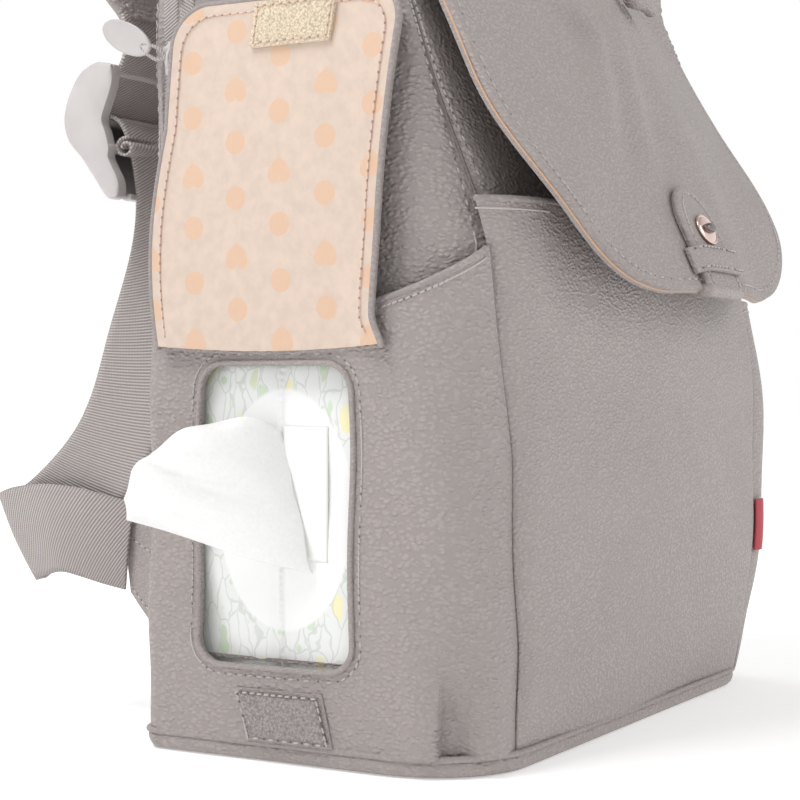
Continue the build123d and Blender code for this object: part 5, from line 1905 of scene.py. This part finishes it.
def build_back():
    """Padded back panel with sewn channels, grab handle and its sewn feet."""
    lo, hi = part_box("back_pad")
    u, v = np.meshgrid(np.linspace(-1, 1, 90), np.linspace(-1, 1, 150))
    cx, cz = (lo.x + hi.x) / 2, (lo.z + hi.z) / 2
    hx, hz = (hi.x - lo.x) / 2, (hi.z - lo.z) / 2
    n = 9.0
    size = (np.abs(u) ** n + np.abs(v) ** n) ** (1 / n)
    scale = np.where(size > 0, np.maximum(np.abs(u), np.abs(v)) / np.maximum(size, 1e-9), 1.0)
    x, z = cx + u * scale * hx, cz + v * scale * hz
    edge = 1 - np.maximum(np.abs(u), np.abs(v))
    swell = ramp(0.0, 0.16, edge) ** 0.6
    channels = sum(np.exp(-(((v - c) / 0.024) ** 2)) for c in (-0.62, -0.2, 0.22, 0.64))
    y = BACK_Y - 0.003 + (hi.y - BACK_Y + 0.004) * swell * (1 - 0.55 * channels * ramp(0.05, 0.2, edge))
    face = np.stack([x, y, z], axis=-1)
    pad = slab(
        "back_panel_pad", face, 0.004, material("mesh"), sign=sheet_sign(face, (0, 0, 0.17)),
        round_edge=0.0006,
    )
    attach(pad, "bag")
    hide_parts("back_pad")
    bead = tube(
        "back_pad_binding", even(rim_of(face), 260)[:-1], 0.0016, material("leather_fine"), 10, closed=True,
        ref=(0, 1, 0),
    )
    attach(bead, "bag")
    h_lo, h_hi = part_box("grab_handle")
    reach = (h_hi.x - h_lo.x) / 2 - 0.004
    hy = (h_lo.y + h_hi.y) / 2
    top = h_hi.z - 0.004
    path = smooth_path(
        [
            (-reach, hy, h_lo.z), (-reach, hy, top - 0.018), (-reach + 0.014, hy, top - 0.003),
            (-reach * 0.4, hy, top), (reach * 0.4, hy, top), (reach - 0.014, hy, top - 0.003),
            (reach, hy, top - 0.018), (reach, hy, h_lo.z),
        ],
        120,
    )
    t = np.linspace(0, 1, 120)
    radius = 0.0052 + 0.0012 * ramp(0.2, 0.3, t) * ramp(0.8, 0.7, t)
    grip = tube("grab_handle_leather", path, radius, material("leather_fine"), 20, flat=0.8, ref=(0, 1, 0))
    under = path.copy()
    under[:, 1] += 0.0058
    row = stitches("grab_handle_stitches", under[8:-8], np.array([0, 1.0, 0]))
    for piece in (grip, row):
        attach(piece, "grab_handle")
    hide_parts("grab_handle")
    for label, side in (("left", -1), ("right", 1)):
        uu, vv = np.meshgrid(np.linspace(-1, 1, 20), np.linspace(0, 1, 20))
        face = np.stack(
            [side * reach + uu * 0.011, BACK_Y - 0.006 + 0.009 * vv**2 + 0.0015, 0.300 + vv * 0.030],
            axis=-1,
        )
        foot = slab(
            f"{label}_handle_foot", face, 0.0028, material("leather_fine"),
            sign=sheet_sign(face, (0, 0, 0.3)), round_edge=0.0008,
        )
        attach(foot, "bag")
    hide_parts("handle_anchors")


def dress_frame():
    """Materials for the frame's own pieces that stay in view."""
    choice = {
        "lining": "print_plain", "wipes_sleeve": "leather_fine", "wipes_flap_seam_strip": "leather_fine",
        "zip_end_stop": "plastic", "pocket_magnet": "leather_fine", "flap_magnet": "leather_fine",
    }
    for node, name in choice.items():
        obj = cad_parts[node]
        obj.data.materials.clear()
        obj.data.materials.append(material(name))


def build_stage():
    """Pale floor, soft lights and the camera."""
    view = bpy.context.scene.bag_view
    size = 6.0
    face = np.stack(np.meshgrid(np.linspace(-size, size, 9), np.linspace(-size, size, 9)), axis=-1)
    grid = np.concatenate([face, np.zeros(face.shape[:2] + (1,))], axis=-1)
    floor = put("floor", grid, quads(9, 9), material("floor"))
    world = bpy.data.worlds.new("studio")
    bpy.context.scene.world = world
    world.use_nodes = True
    tree = world.node_tree
    sky = tree.nodes["Background"]
    sky.inputs[0].default_value = (1, 1, 1, 1)
    up = tree.nodes.new("ShaderNodeSeparateXYZ")
    tree.links.new(tree.nodes.new("ShaderNodeTexCoord").outputs["Generated"], up.inputs[0])
    fade = tree.nodes.new("ShaderNodeMapRange")
    tree.links.new(up.outputs[2], fade.inputs["Value"])
    for key, value in (("From Min", 0.2), ("From Max", 0.6), ("To Min", 1.0), ("To Max", 0.45)):
        fade.inputs[key].default_value = value
    tree.links.new(fade.outputs[0], sky.inputs[1])
    for name, place, aim, power, width in (
        ("key", (-0.75, 0.35, 1.35), (0, 0, 0.15), 13.0, 0.7),
        ("front", (0.5, -1.5, 1.0), (0, -0.05, 0.15), 7.0, 0.8),
        ("rim", (0.6, 1.2, 1.1), (0, 0, 0.2), 5.0, 0.9),
    ):
        lamp = bpy.data.lights.new(name, "AREA")
        lamp.energy = power
        lamp.size = width
        obj = bpy.data.objects.new(name, lamp)
        bpy.context.scene.collection.objects.link(obj)
        obj.location = place
        obj.rotation_euler = (Vector(aim) - Vector(place)).to_track_quat("-Z", "Y").to_euler()
    camera = bpy.data.objects.new("camera", bpy.data.cameras.new("camera"))
    bpy.context.scene.collection.objects.link(camera)
    camera.data.lens = view.lens
    camera.data.sensor_width = 36.0
    camera.location = view.place
    camera.rotation_euler = (math.pi / 2 - view.pitch, 0.0, view.azimuth)
    bpy.context.scene.camera = camera
    bpy.context.scene.view_settings.view_transform = "Standard"


# ---- operators ----
class BAG_OT_body(bpy.types.Operator):
    """Build the leather body and the base"""

    bl_idname = "bag.body"
    bl_label = "Body and base"

    def execute(self, context):
        build_body()
        build_base()
        return {"FINISHED"}


class BAG_OT_wipes_pocket(bpy.types.Operator):
    """Build the wipes pocket with its window, pack, wipe and patch"""

    bl_idname = "bag.wipes_pocket"
    bl_label = "Wipes pocket"

    def execute(self, context):
        build_wipes_pocket()
        build_wipes_pack()
        build_wipe()
        build_loop_patch()
        return {"FINISHED"}


class BAG_OT_wipes_flap(bpy.types.Operator):
    """Build the cover of the wipes window"""

    bl_idname = "bag.wipes_flap"
    bl_label = "Wipes cover"

    def execute(self, context):
        build_wipes_flap()
        return {"FINISHED"}


class BAG_OT_pockets(bpy.types.Operator):
    """Build the front pocket and the far side pocket"""

    bl_idname = "bag.pockets"
    bl_label = "Pockets"

    def execute(self, context):
        build_front_pocket()
        build_side_pocket()
        return {"FINISHED"}


class BAG_OT_main_flap(bpy.types.Operator):
    """Build the main flap, its closure and toggles"""

    bl_idname = "bag.main_flap"
    bl_label = "Main flap"

    def execute(self, context):
        build_main_flap()
        build_closure()
        build_toggles()
        return {"FINISHED"}


class BAG_OT_zip(bpy.types.Operator):
    """Build the zip, slider and puller"""

    bl_idname = "bag.zip"
    bl_label = "Zip"

    def execute(self, context):
        build_zip()
        return {"FINISHED"}


class BAG_OT_straps(bpy.types.Operator):
    """Build both shoulder straps, wing tabs and anchors"""

    bl_idname = "bag.straps"
    bl_label = "Straps"

    def execute(self, context):
        build_strap("left", -1)
        build_strap("right", 1)
        build_wings()
        return {"FINISHED"}


class BAG_OT_back(bpy.types.Operator):
    """Build the back pad and the grab handle"""

    bl_idname = "bag.back"
    bl_label = "Back and handle"

    def execute(self, context):
        build_back()
        return {"FINISHED"}


class BAG_OT_dress(bpy.types.Operator):
    """Give the frame's own pieces their materials"""

    bl_idname = "bag.dress"
    bl_label = "Frame materials"

    def execute(self, context):
        dress_frame()
        return {"FINISHED"}


class BAG_OT_stage(bpy.types.Operator):
    """Build the floor, lights and camera"""

    bl_idname = "bag.stage"
    bl_label = "Stage"

    def execute(self, context):
        build_stage()
        return {"FINISHED"}


STEPS = (
    "stage", "body", "wipes_pocket", "wipes_flap", "pockets", "main_flap", "zip", "straps", "back", "dress",
)


class BAG_PT_panel(bpy.types.Panel):
    """The bag's settings and builders"""

    bl_label = "Diaper backpack"
    bl_space_type = "VIEW_3D"
    bl_region_type = "UI"
    bl_category = "Bag"

    def draw(self, context):
        for group in (context.scene.bag_colours, context.scene.bag_sewing, context.scene.bag_view):
            for key in group.bl_rna.properties.keys():
                if key not in ("rna_type", "name"):
                    self.layout.prop(group, key)
        for step in STEPS:
            self.layout.operator("bag." + step)


CLASSES = (
    BagColours, BagSewing, BagView, BAG_OT_body, BAG_OT_wipes_pocket, BAG_OT_wipes_flap, BAG_OT_pockets,
    BAG_OT_main_flap, BAG_OT_zip, BAG_OT_straps, BAG_OT_back, BAG_OT_dress, BAG_OT_stage, BAG_PT_panel,
)


def register():
    """Registers the classes and hangs the settings on the scene."""
    for cls in CLASSES:
        bpy.utils.register_class(cls)
    bpy.types.Scene.bag_colours = bpy.props.PointerProperty(type=BagColours)
    bpy.types.Scene.bag_sewing = bpy.props.PointerProperty(type=BagSewing)
    bpy.types.Scene.bag_view = bpy.props.PointerProperty(type=BagView)


def unregister():
    """Takes the settings and classes away again."""
    for name in ("bag_colours", "bag_sewing", "bag_view"):
        delattr(bpy.types.Scene, name)
    for cls in reversed(CLASSES):
        bpy.utils.unregister_class(cls)


def main():
    """Builds everything in order."""
    register()
    for step in STEPS:
        getattr(bpy.ops.bag, step)()


if __name__ == "__main__":
    main()
